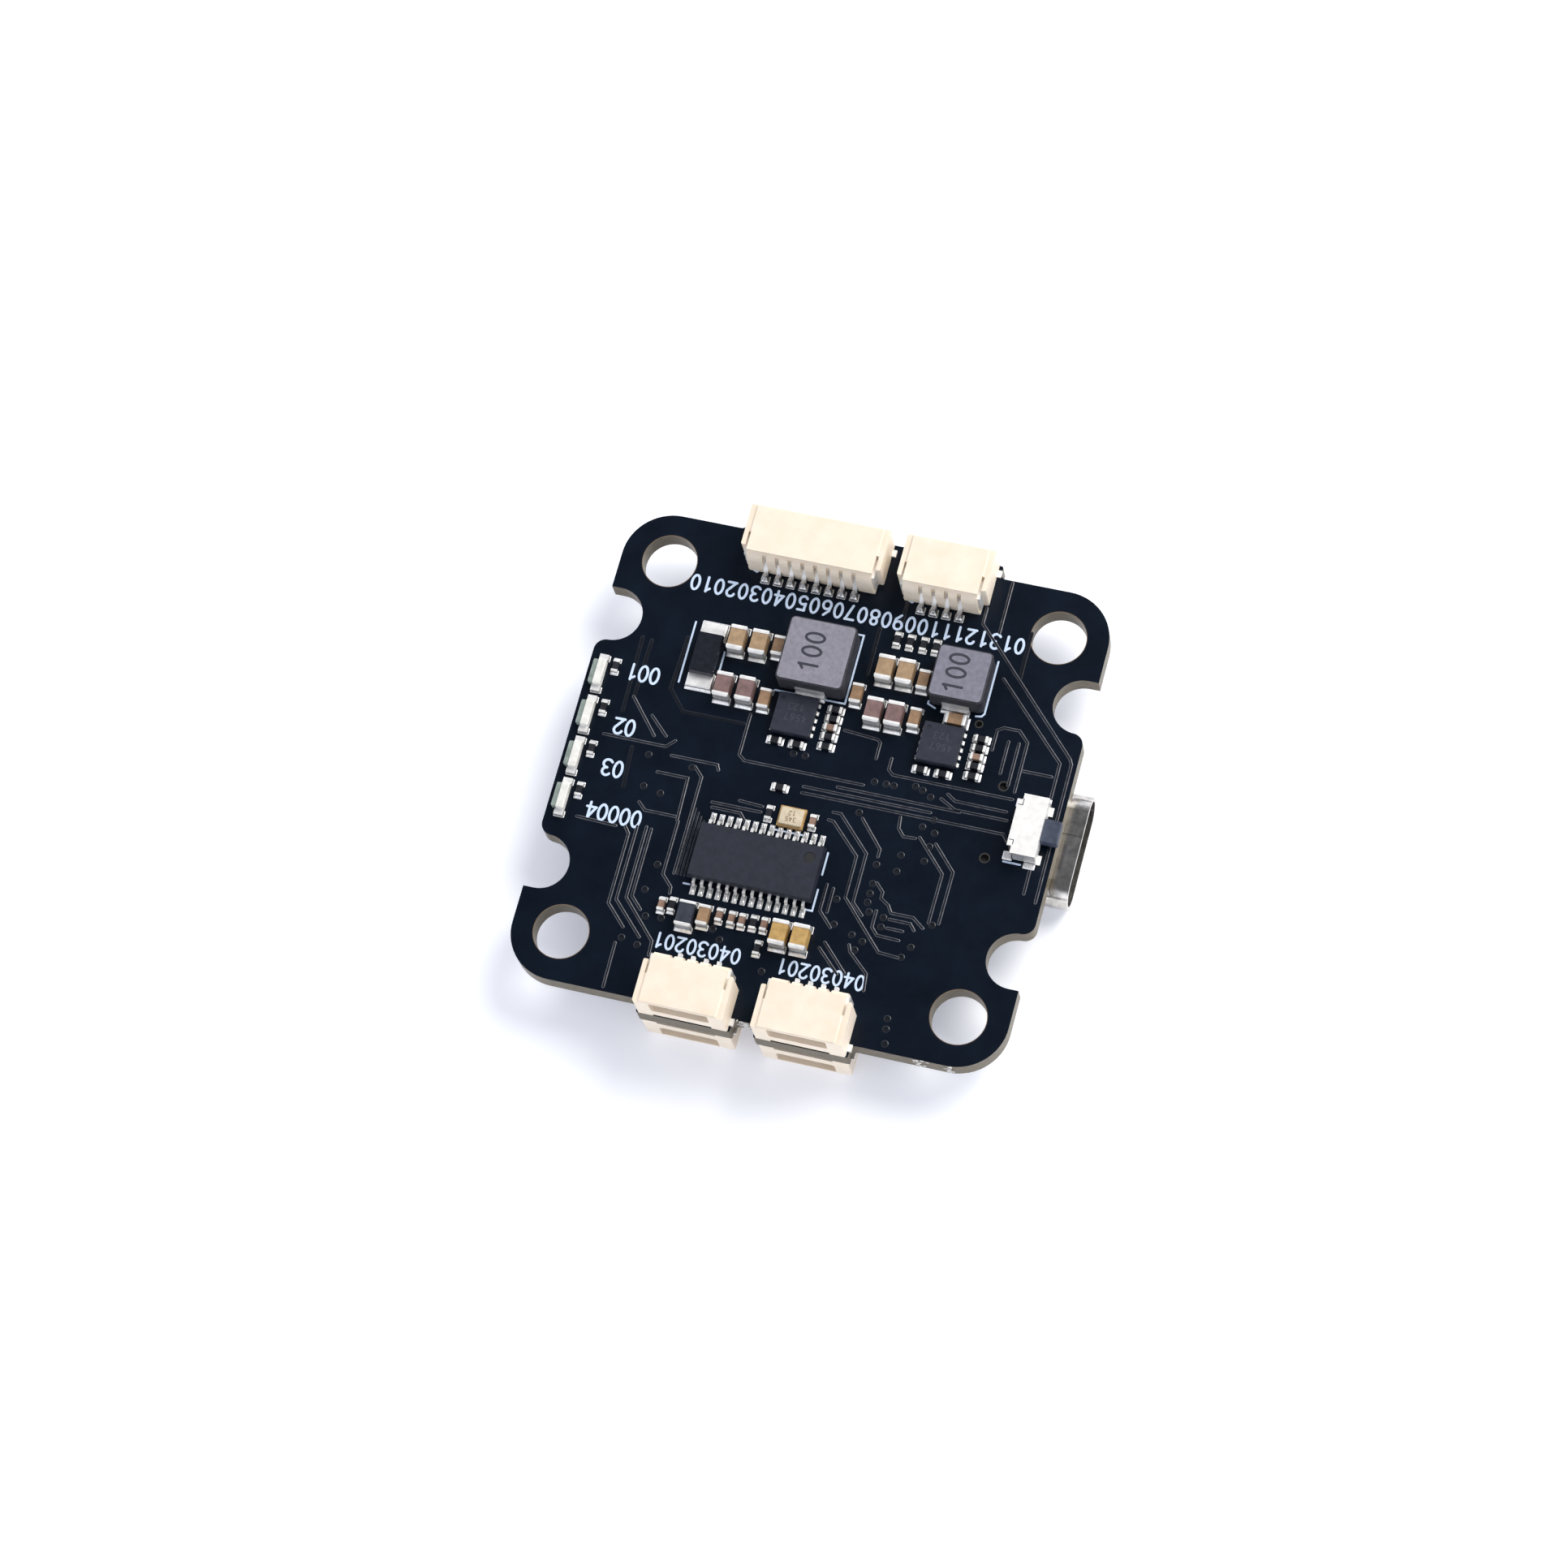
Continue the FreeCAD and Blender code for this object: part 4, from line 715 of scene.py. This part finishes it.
# Routes of (x, y) points in millimetres.
TRACKS = [
    [(2.2, -1.8), (2.8, -1.8), (5.45, -4.45), (5.45, -8.35), (6.35, -9.2)],
    [(2.0, -2.45), (2.4, -2.5), (4.78, -4.8), (4.78, -8.1), (8.25, -11.7), (9.8, -11.8)],
    [(4.45, -1.8), (6.35, -3.9), (6.35, -4.5)],
    [(7.2, -1.1), (7.3, -2.0), (7.8, -2.55), (8.7, -2.5)],
    [(9.0, -2.35), (11.35, -4.8), (11.3, -8.7)],
    [(10.3, -2.6), (12.1, -4.5), (12.05, -8.6)],
    [(6.8, -6.5), (7.4, -7.1), (7.4, -7.6), (8.05, -8.0), (8.4, -8.55), (10.1, -8.55), (11.0, -9.2)],
    [(8.4, -9.05), (10, -9.05), (10.4, -9.5)],
    [(8.4, -9.75), (9.6, -9.75)],
    [(7.3, -8.6), (7.3, -9.9), (7.8, -10.45), (9.5, -10.5)],
    [(3.2, -7.4), (3.2, -9.5), (4.3, -10.6)],
    [(3.75, -7.6), (3.75, -9.5)],
    [(3.9, -12.3), (5.7, -14.0)],
    [(4.2, -11.8), (6.2, -13.8)],
    [(6.0, -11.6), (6.2, -12.1), (7.8, -13.5), (7.95, -14.8)],
    [(-0.5, -0.8), (15.0, -0.8), (15.4, -1.3)],
    [(-0.5, -0.3), (9.3, -0.3)],
    [(2.0, 0.2), (11.4, 0.2)],
    [(9.8, 0.95), (11.0, 0.3), (15.0, 0.3)],
    [(10.2, 1.4), (10.85, 0.98), (14.8, 0.95)],
    [(5.4, 3.26), (5.4, 2.34), (5.8, 2.0), (15.0, 2.0)],
    [(-5.9, 4.45), (-5.9, 1.15), (-5.4, 0.76), (3.85, 0.76)],
    [(1.35, 4.7), (4.0, 4.5), (4.25, 4.3), (4.25, 3.0)],
    [(10.8, 18.9), (10.8, 14.7)],
    [(9.4, 16.5), (9.4, 15.2), (18.4, 6.0), (18.6, 5.6), (18.6, -5.5)],
    [(12.0, 11.2), (17.75, 5.5), (17.75, 2.7)],
    [(12.55, 5.5), (12.55, 7.1), (13.0, 7.4), (14.2, 7.4), (15.0, 6.6), (15.0, 2.6)],
    [(15.2, 4.35), (17.4, 4.35)],
    [(17.6, -3.2), (17.6, -5.0)],
    [(-15.0, 4.0), (-12.6, 1.25)],
    [(-13.2, 2.8), (-11.7, 1.4)],
    [(-16.4, 0.6), (-11.5, 0.6), (-10.9, 1.2)],
    [(-10.9, 0.0), (-7.3, 0.0), (-7.1, -0.4)],
    [(-11.6, -1.5), (-9.2, -1.5), (-9.1, -4.9)],
    [(-12.3, -4.1), (-11.7, -4.65), (-9.3, -4.65)],
    [(-8.9, -0.5), (-8.2, -1.2), (-8.2, -9.0)],
    [(-16.6, -6.2), (-13.5, -6.3)],
    [(-12.8, -6.2), (-12.4, -6.7), (-12.4, -12.3), (-10.8, -13.9)],
    [(-11.9, -6.0), (-11.9, -11.9), (-9.4, -14.4)],
    [(-11.2, -5.9), (-11.2, -11.6), (-8.4, -14.5), (-8.35, -15.6)],
    [(-10.8, -6.0), (-10.8, -11.4), (-9.9, -12.3)],
    [(-9.0, -5.0), (-9.0, -9.25), (-8.15, -10.1), (-8.1, -10.6)],
    [(-11.05, -15.2), (-11.0, -18.7)],
    [(-6.9, -2.95), (-3.1, -2.95)],
    [(-6.8, -3.35), (-4.6, -3.35), (-4.0, -4.0)],
    [(-4.9, -2.4), (-3.1, -2.5)],
    [(13.6, 3.8), (13.6, 6.4)],
    [(14.4, 3.0), (14.4, 6.4)],
]
VIAS = [
    (10.2, -16.5), (10.3, -17.3), (10.5, -18.4), (6.0, -10.8), (6.9, -11.15), (6.5, -11.9), (10.5, -10.8),
    (10.0, -11.7), (6.5, -6.6), (6.5, -7.4), (6.5, -8.1), (6.8, -8.8), (8.0, -4.0), (8.0, -5.3),
    (9.8, -4.1), (4.1, -1.4), (4.2, -8.35), (4.5, -10.3), (6.4, -5.1), (10.0, -1.8), (11.6, -8.8),
    (7.95, -9.0), (7.95, -9.75), (-9.6, -8.6), (-10.0, -10.7), (-9.4, -12.7), (-10.7, -14.7), (-9.4, -15.0),
    (-10.9, -3.1), (-12.6, -0.3), (-9.1, -0.6), (-4.2, -12.6), (0.2, -15.0), (-1.9, 2.1), (-1.0, 2.1),
    (4.6, 1.2), (5.5, 1.2), (6.1, 1.2), (7.7, 1.5), (8.3, 1.3), (9.0, 0.9), (9.7, -0.8), (9.0, -1.5),
    (9.9, -2.9), (-12.3, -2.8), (-3.5, -13.3), (-8.2, -12.6),
]
# Tracks that hardly show through the mask.
FAINT_TRACKS = [
    [(-15.6, 8.8), (-15.5, 2.7)],
    [(-14.85, 8.7), (-14.95, 3.8)],
    [(-14.0, 0.0), (-13.8, -3.2)],
    [(-12.2, 9.5), (-12.4, 5.2), (-11.0, 3.6), (-6.2, 3.6)],
    [(3.4, 16.5), (3.4, 13.0)],
    [(1.9, 13.2), (1.9, 9.4)],
    [(13.2, 15.2), (13.2, 11.4)],
]
UNDER_TRACKS = [
    [(4.6, 3.2), (6.4, 3.2), (10.4, 1.4)],
    [(4.6, 2.7), (6.2, 2.7), (9.6, -0.4), (12.0, -0.4)],
    [(-8.6, 3.2), (-10.6, 4.6), (-11.2, 5.0)],
    [(-8.6, -1.2), (-10.0, -1.2)],
    [(-8.6, -2.2), (-9.8, -2.2)],
    [(-3.4, 7.3), (-3.4, 9.0), (-2.6, 9.8)],
    [(-2.2, 7.3), (-2.2, 9.8)],
    [(-0.9, 7.3), (-0.9, 9.4), (-1.2, 9.8)],
    [(4.6, -1.2), (6.0, -2.6), (6.0, -4.2)],
    [(4.6, -0.6), (7.0, -3.0), (7.0, -4.2)],
    [(-5.0, -6.2), (-5.0, -12.0), (-5.0, -13.4)],
    [(-4.0, -8.2), (-4.0, -13.4)],
    [(1.5, -6.2), (3.4, -8.2), (3.4, -12.4), (4.0, -13.4)],
    [(2.1, -6.0), (5.2, -9.2), (5.2, -13.4)],
    [(6.4, 10.5), (4.4, 10.5), (2.6, 8.6), (2.6, 7.4)],
    [(-14.8, 8.0), (-14.8, -8.0)],
    [(-14.2, 8.0), (-14.2, -9.0), (-9.6, -13.6)],
]


# Radius and height of a tented via, from its rim into its dimple.
VIA_PROFILE = ((0.27, 0.0), (0.25, 0.016), (0.20, 0.024), (0.14, 0.018), (0.08, 0.006), (0.03, 0.005))
# Vias past this y stay off the underside, where the front sockets are.
UNDER_VIA_LIMIT = -14.0


def add_via(piece, x, y, side):
    """Tented via: a low ring with a dimple."""
    piece.stack([flat_ring(circle(x, y, radius, 20), side, height) for radius, height in VIA_PROFILE])


def make_tracks():
    """Copper tracks and vias under the mask, on both sides."""
    tracks = Piece("masked_tracks", COPPER_UNDER, "black_mask")
    for route in TRACKS:
        add_strip(tracks, route, TRACK_W, TRACK_T)
    for index in range(FAN_COUNT):
        x, y = FAN_X + FAN_PITCH * index, FAN_Y - FAN_PITCH * index
        add_strip(tracks, [(x, y), (x, FAN_END_Y)], FINE_W, TRACK_T, slope=FINE_SLOPE)
    for route in UNDER_TRACKS:
        add_strip(tracks, route, TRACK_W, TRACK_T, UNDER)
    tracks.done()
    faint = Piece("faint_tracks", VIA_MASK, "black_mask")
    for route in FAINT_TRACKS:
        add_strip(faint, route, FAINT_W, FAINT_T, slope=FINE_SLOPE)
    faint.done()
    vias = Piece("tented_vias", VIA_MASK, "black_mask", smooth=True)
    for x, y in VIAS:
        add_via(vias, x, y, TOP)
        if y > UNDER_VIA_LIMIT:
            add_via(vias, x, y, UNDER)
    vias.done()


# ---- Printing -----------------------------------------------------------------
def arc(cx, cy, rx, ry, start, end, steps=10):
    """Points along an ellipse's arc, angles in degrees."""
    angles = [math.radians(start + (end - start) * k / steps) for k in range(steps + 1)]
    return [(cx + rx * math.cos(a), cy + ry * math.sin(a)) for a in angles]


# Strokes of each digit in a box 0.6 wide and 1 high.
DIGITS = {
    "0": [arc(0.3, 0.5, 0.24, 0.48, 90, 450, 20)],
    "1": [[(0.32, 0.98), (0.32, 0.02)], [(0.10, 0.76), (0.33, 0.93)]],
    "2": [arc(0.3, 0.73, 0.24, 0.25, 165, -30) + [(0.07, 0.04)], [(0.03, 0.05), (0.57, 0.05)]],
    "3": [arc(0.28, 0.74, 0.24, 0.24, 150, -90), arc(0.28, 0.26, 0.27, 0.25, 90, -150)],
    "4": [[(0.42, 0.02), (0.42, 0.98)], [(0.40, 0.94), (0.07, 0.34)], [(0.03, 0.30), (0.59, 0.30)]],
    "5": [[(0.54, 0.95), (0.10, 0.95)], [(0.13, 0.97), (0.10, 0.50)],
          arc(0.28, 0.30, 0.25, 0.27, 125, -150)],
    "6": [arc(0.3, 0.29, 0.25, 0.28, 0, 360, 16), [(0.05, 0.32), (0.12, 0.68), (0.40, 0.98)]],
    "7": [[(0.03, 0.95), (0.58, 0.95)], [(0.55, 0.97), (0.22, 0.02)]],
    "8": [arc(0.3, 0.75, 0.20, 0.22, 0, 360, 16), arc(0.3, 0.27, 0.25, 0.26, 0, 360, 16)],
    "9": [arc(0.3, 0.71, 0.25, 0.27, 0, 360, 16), [(0.55, 0.68), (0.50, 0.32), (0.20, 0.02)]],
}


SILK_W = 0.15
SILK_T = 0.015
PRINT_H = 1.22
PRINT_SLOPE = 0.01
# Each further stroke of a digit is thicker by this share, so that no two tops lie at one height.
STROKE_STEP = 0.15


def add_digits(piece, text, x, y, height, pitch, stroke, turn=180, side=TOP, lift=0.0, thick=SILK_T):
    """Row of digits centred on (x, y)."""
    rotate = Matrix.Rotation(math.radians(turn), 2)
    start = -(len(text) - 1) * pitch / 2
    for index, character in enumerate(text):
        for layer, line in enumerate(DIGITS[character]):
            route = []
            for px, py in line:
                offset = Vector((start + index * pitch + (px - 0.3) * height, (py - 0.5) * height))
                if side == UNDER:
                    offset.x = -offset.x
                placed = rotate @ offset
                route.append((x + placed.x, y + placed.y))
            rise = thick * (1 + STROKE_STEP * layer)
            add_strip(piece, route, stroke, rise, side, slope=PRINT_SLOPE, lift=lift)


# Rows of pin and light numbers: text, x, y, height, pitch and stroke.
SILK_DIGITS = [
    ("0131211100908070605040302010", -0.15, 14.0, PRINT_H, 0.94, 0.2),
    ("04030201", -4.95, -14.3, PRINT_H * 0.95, 0.85, 0.18),
    ("04030201", 4.55, -14.3, PRINT_H * 0.95, 0.85, 0.18),
    ("001", -14.75, 5.9, PRINT_H * 1.06, 0.88, 0.2),
    ("02", -15.0, 1.45, PRINT_H * 1.06, 0.88, 0.2),
    ("03", -15.0, -1.95, PRINT_H * 1.06, 0.88, 0.2),
    ("00004", -13.9, -5.5, PRINT_H * 1.06, 0.88, 0.2),
]
SILK_LINES = [
    [(-4.6, 11.0), (-4.6, 12.4), (0.85, 12.4), (0.85, 6.75), (-4.6, 6.75)],
    [(11.3, 12.45), (11.3, 8.15), (11.12, 7.92), (10.7, 7.85)],
    [(6.95, 8.3), (6.95, 8.1), (7.55, 7.85)],
    [(-11.95, 10.85), (-11.95, 5.85)],
    [(-9.15, 8.9), (-9.15, 7.4)],
    [(2.65, -5.0), (2.65, -6.75)],
    [(2.65, -7.95), (2.65, -9.65), (1.95, -9.65)],
    [(-7.3, -9.6), (-6.85, -9.6)],
    [(0.45, -4.05), (-2.0, -4.05)],
    [(15.5, -2.85), (16.8, -2.85)],
]


# Dash beside the first pin of a socket: distance from the contacts, run, width.
DASH_OUT, DASH_RUN, DASH_W = 0.95, (0.3, 0.12), 0.25
# Corner mark of a chip on the underside: how far out it stands, where its ends stop, width.
CORNER_OUT, CORNER_END, CORNER_W = 0.5, 0.1, 0.12
CORNER_MARKED = ("processor_leads", "flash_memory_body", "gyro_sensor", "barometer_base")


def make_printing():
    """White legend on the board: outlines and plain pin numbers."""
    silk = Piece("board_legend", SILK, "black_mask")
    for line in SILK_LINES:
        add_strip(silk, line, SILK_W, SILK_T, slope=PRINT_SLOPE)
    for row in SILK_DIGITS:
        add_digits(silk, *row)
    for name in SOCKETS:
        low, high = in_mm(name + "_socket_contacts")
        side = TOP if low.z > 0 else UNDER
        inward = -1 if high.y > 0 else 1
        tip = low.y if high.y > 0 else high.y
        x, y = low.x - DASH_OUT, tip - inward * DASH_OUT
        dash = [(x, y), (x + DASH_RUN[0], y + inward * DASH_RUN[1])]
        add_strip(silk, dash, DASH_W, SILK_T, side, slope=PRINT_SLOPE)
    add_digits(silk, "1", -9.3, 8.6, 0.9, 0.6, 0.1, 0, UNDER)
    for node in CORNER_MARKED:
        low, high = in_mm(node)
        x, y = low.x - CORNER_OUT, high.y + CORNER_OUT
        corner = [(x, high.y + CORNER_END), (x, y), (low.x - CORNER_END, y)]
        add_strip(silk, corner, CORNER_W, SILK_T, UNDER, slope=PRINT_SLOPE)
    silk.done()


MARK_GAP = 0.002
MARK_T = 0.004
INDUCTOR_MARK_T = 0.006
# Dark slits in the switch's cover, each a route of (x, y) points.
COVER_SLITS = [
    [(15.78, 1.2), (16.12, 1.2), (16.12, 1.68)],
    [(15.8, -1.6), (16.12, -1.6), (16.12, -1.95)],
]
# The display chip's pin-one dimple: radius of the dark disc of painted shade on its floor, its place in
# from the corner, its depth.
DOT_R, DOT_INSET, DOT_DEPTH, DOT_T = 0.41, (0.98, 1.13), 0.058, 0.02


def face_of(box, side=TOP):
    """Middle of a part's box, and the height of a mark on its outer face."""
    low, high = box
    lift = high.z - surface(TOP) if side == TOP else surface(UNDER) - low.z
    return (low + high) / 2, lift + MARK_GAP


def make_part_marks():
    """Plain digits on the parts, slits in the switch's cover and a dark disc of painted shade in the
    pin-one dimple.
    """
    brown = Piece("crystal_marks", PRINT_BROWN, "crystal_lid")
    middle, lift = face_of(max(islands("crystal_lids"), key=lambda box: box[1].z))
    for text, y in (("12", 0.24), ("345", -0.24)):
        add_digits(brown, text, middle.x, middle.y + y, 0.36, 0.3, 0.05, 180, TOP, lift, MARK_T)
    brown.done()
    dark = Piece("inductor_marks", PRINT_DARK, "inductor_grey")
    for node in ("large_inductor_body", "small_inductor_body"):
        middle, lift = face_of(in_mm(node))
        add_digits(dark, "100", middle.x - 0.35, middle.y, 1.5, 1.12, 0.21, 90, TOP, lift, INDUCTOR_MARK_T)
    dark.done()
    grey = Piece("chip_marks", PRINT_GREY, "chip_epoxy")
    for box in islands("buck_chip_bodies"):
        middle, lift = face_of(box)
        for text, x, y in (("123", 0.0, 0.55), ("4567", 0.15, -0.3)):
            add_digits(grey, text, middle.x + x, middle.y + y, 0.55, 0.45, 0.06, 180, TOP, lift, MARK_T)
    for node, text, size in (("processor_body", "0123456", 0.9), ("flash_memory_body", "789", 0.8)):
        middle, lift = face_of(in_mm(node), UNDER)
        add_digits(grey, text, middle.x, middle.y, size, size * 0.8, 0.08, 0, UNDER, lift, MARK_T)
    grey.done()
    slits = Piece("switch_cover_slits", PRINT_DARK, "switch_nickel")
    lift = face_of(in_mm("boot_switch_cover"))[1]
    for route in COVER_SLITS:
        add_strip(slits, route, 0.06, MARK_T, slope=PRINT_SLOPE, lift=lift)
    slits.done()
    # Dark disc on the dimple's floor: painted shade of the recess.
    dot = Piece("display_chip_dimple_shade", FINISHES["black_moulding"], "chip_epoxy")
    corner = in_mm("display_chip_body")[1]
    outline = circle(corner.x - DOT_INSET[0], corner.y - DOT_INSET[1], DOT_R)
    floor = corner.z - surface(TOP) - DOT_DEPTH
    dot.stack([flat_ring(outline, TOP, floor), flat_ring(outline, TOP, floor + DOT_T)])
    dot.done()


HOLE_AT = 15.25
RIM_RADII = (2.1, 2.15)
RIM_T = 0.006
# Peg holes of the USB port and the open test hole: x, y and radius.
SMALL_HOLES = [(14.1, -2.89, 0.33), (14.1, 2.89, 0.33), (11.1, 7.3, 0.25)]
# How far a lining reaches inside and outside its hole, and beyond the board's faces.
LINING_IN, LINING_OUT, LINING_RISE = 0.02, 0.08, 0.008


def make_rims():
    """Bare laminate rings round the mounting holes, on both faces, and linings of the small holes."""
    rims = Piece("bare_hole_rims", LAMINATE, "black_mask")
    for x in (-HOLE_AT, HOLE_AT):
        for y in (-HOLE_AT, HOLE_AT):
            for side in (TOP, UNDER):
                z = surface(side)
                add_hoop(rims, x, y, RIM_RADII, (z, z + side * RIM_T))
    rims.done()
    linings = Piece("dark_hole_linings", HOLE_LINING, "black_mask")
    heights = (surface(UNDER) - LINING_RISE, surface(TOP) + LINING_RISE)
    for x, y, radius in SMALL_HOLES:
        add_hoop(linings, x, y, (radius - LINING_IN, radius + LINING_OUT), heights)
    linings.done()


# Where the routed front edge is frayed: x, spread along x, number of fibre ends.
FRAYS = [(0.0, 0.25, 48), (13.3, 0.28, 16), (15.5, 0.2, 14)]
EDGE_Y = -19.05
# Ranges of a fibre's foot height, half width, length, sideways lean and reach out of the edge.
FIBRE_Z, FIBRE_HALF, FIBRE_TALL = (0.15, 1.5), (0.04, 0.15), (0.04, 0.18)
FIBRE_LEAN, FIBRE_OUT = (-0.1, 0.1), (0.02, 0.07)
# How deep a fibre is rooted in the edge, its corner radius, and how far its tip is set back.
FIBRE_ROOT, FIBRE_CORNER, FIBRE_SETBACK = 0.05, 0.03, 0.01


def make_fibres():
    """Whitish fibre ends left by the router on the front edge."""
    fibres = Piece("frayed_fibres", FIBRE, "black_mask")
    for centre, spread, count in FRAYS:
        for _ in range(count):
            x = random.gauss(centre, spread)
            z = random.uniform(*FIBRE_Z)
            half = random.uniform(*FIBRE_HALF)
            tall = random.uniform(*FIBRE_TALL)
            lean = random.uniform(*FIBRE_LEAN)
            front = EDGE_Y - random.uniform(*FIBRE_OUT)
            foot = round_rect(x - half, x + half, front, EDGE_Y + FIBRE_ROOT, FIBRE_CORNER)
            fibres.stack([[(px, py, z) for px, py in foot],
                          [(px + lean, py + FIBRE_SETBACK, z + tall) for px, py in foot]])
    fibres.done()


# ---- Stage ----------------------------------------------------------------------
KEY_AT = (0.33, 0.42, 0.48)
KEY_SIZE = 0.54
KEY_POWER = 5.0
KEY_COLOUR = (1.0, 0.97, 0.92)
SKY_COLOUR = (0.885, 0.915, 1.0, 1)
# The sky fades from bright to dim between these heights of the look direction.
SKY_FADE = {"From Min": 0.55, "From Max": 0.90, "To Min": 1.42, "To Max": 0.17}
FLOOR_SIZE = 3
CAMERA_AT = (0.07323, -0.11414, 0.33714)
CAMERA_RIGHT = (0.95793, 0.25707, -0.12760)
CAMERA_FORWARD = (-0.20767, 0.31400, -0.92643)
SENSOR_MM = 36
LENS_MM = 111.64
CLIP_NEAR, CLIP_FAR = 0.02, 20


def make_sky():
    """Pale blue studio all round, darker overhead where the viewer stands."""
    world = bpy.data.worlds.new("studio")
    bpy.context.scene.world = world
    world.use_nodes = True
    tree = world.node_tree
    direction = tree.nodes.new("ShaderNodeTexCoord").outputs["Generated"]
    split = tree.nodes.new("ShaderNodeSeparateXYZ")
    tree.links.new(direction, split.inputs[0])
    shade = tree.nodes.new("ShaderNodeMapRange")
    shade.interpolation_type = "SMOOTHSTEP"
    tree.links.new(split.outputs["Z"], shade.inputs["Value"])
    for key, value in SKY_FADE.items():
        shade.inputs[key].default_value = value
    background = tree.nodes["Background"]
    background.inputs["Color"].default_value = SKY_COLOUR
    tree.links.new(shade.outputs[0], background.inputs["Strength"])


def make_floor():
    """Pale floor at the height of the lowest part."""
    lowest = cad_bounds[0][2]
    bpy.ops.mesh.primitive_plane_add(size=FLOOR_SIZE, location=(0, 0, lowest))
    floor = bpy.context.object
    floor.name = "floor"
    floor.data.materials.append(floor_paper())


def make_light():
    """One soft round key light, aimed at the board."""
    light = bpy.data.lights.new("key", "AREA")
    light.shape = "DISK"
    light.size = KEY_SIZE
    light.energy = KEY_POWER
    light.color = KEY_COLOUR
    lamp = bpy.data.objects.new("key", light)
    lamp.location = KEY_AT
    lamp.rotation_euler = (-Vector(KEY_AT)).to_track_quat("-Z", "Y").to_euler()
    bpy.context.scene.collection.objects.link(lamp)


def make_camera():
    """Camera that stands where the photo's stood."""
    camera = bpy.data.cameras.new("camera")
    camera.sensor_width = SENSOR_MM
    camera.lens = LENS_MM
    camera.clip_start = CLIP_NEAR
    camera.clip_end = CLIP_FAR
    viewer = bpy.data.objects.new("camera", camera)
    right = Vector(CAMERA_RIGHT).normalized()
    forward = Vector(CAMERA_FORWARD).normalized()
    up = right.cross(forward)
    turn = Matrix((right, up, -forward)).transposed().to_4x4()
    viewer.matrix_world = Matrix.Translation(CAMERA_AT) @ turn
    bpy.context.scene.collection.objects.link(viewer)
    bpy.context.scene.camera = viewer


make_floor()
bpy.context.scene.view_settings.view_transform = "Standard"
make_sky()
make_light()
make_camera()
dress_nodes()
solder_everything()
pads.done()
joints.done()
make_tracks()
make_printing()
make_part_marks()
make_rims()
make_fibres()
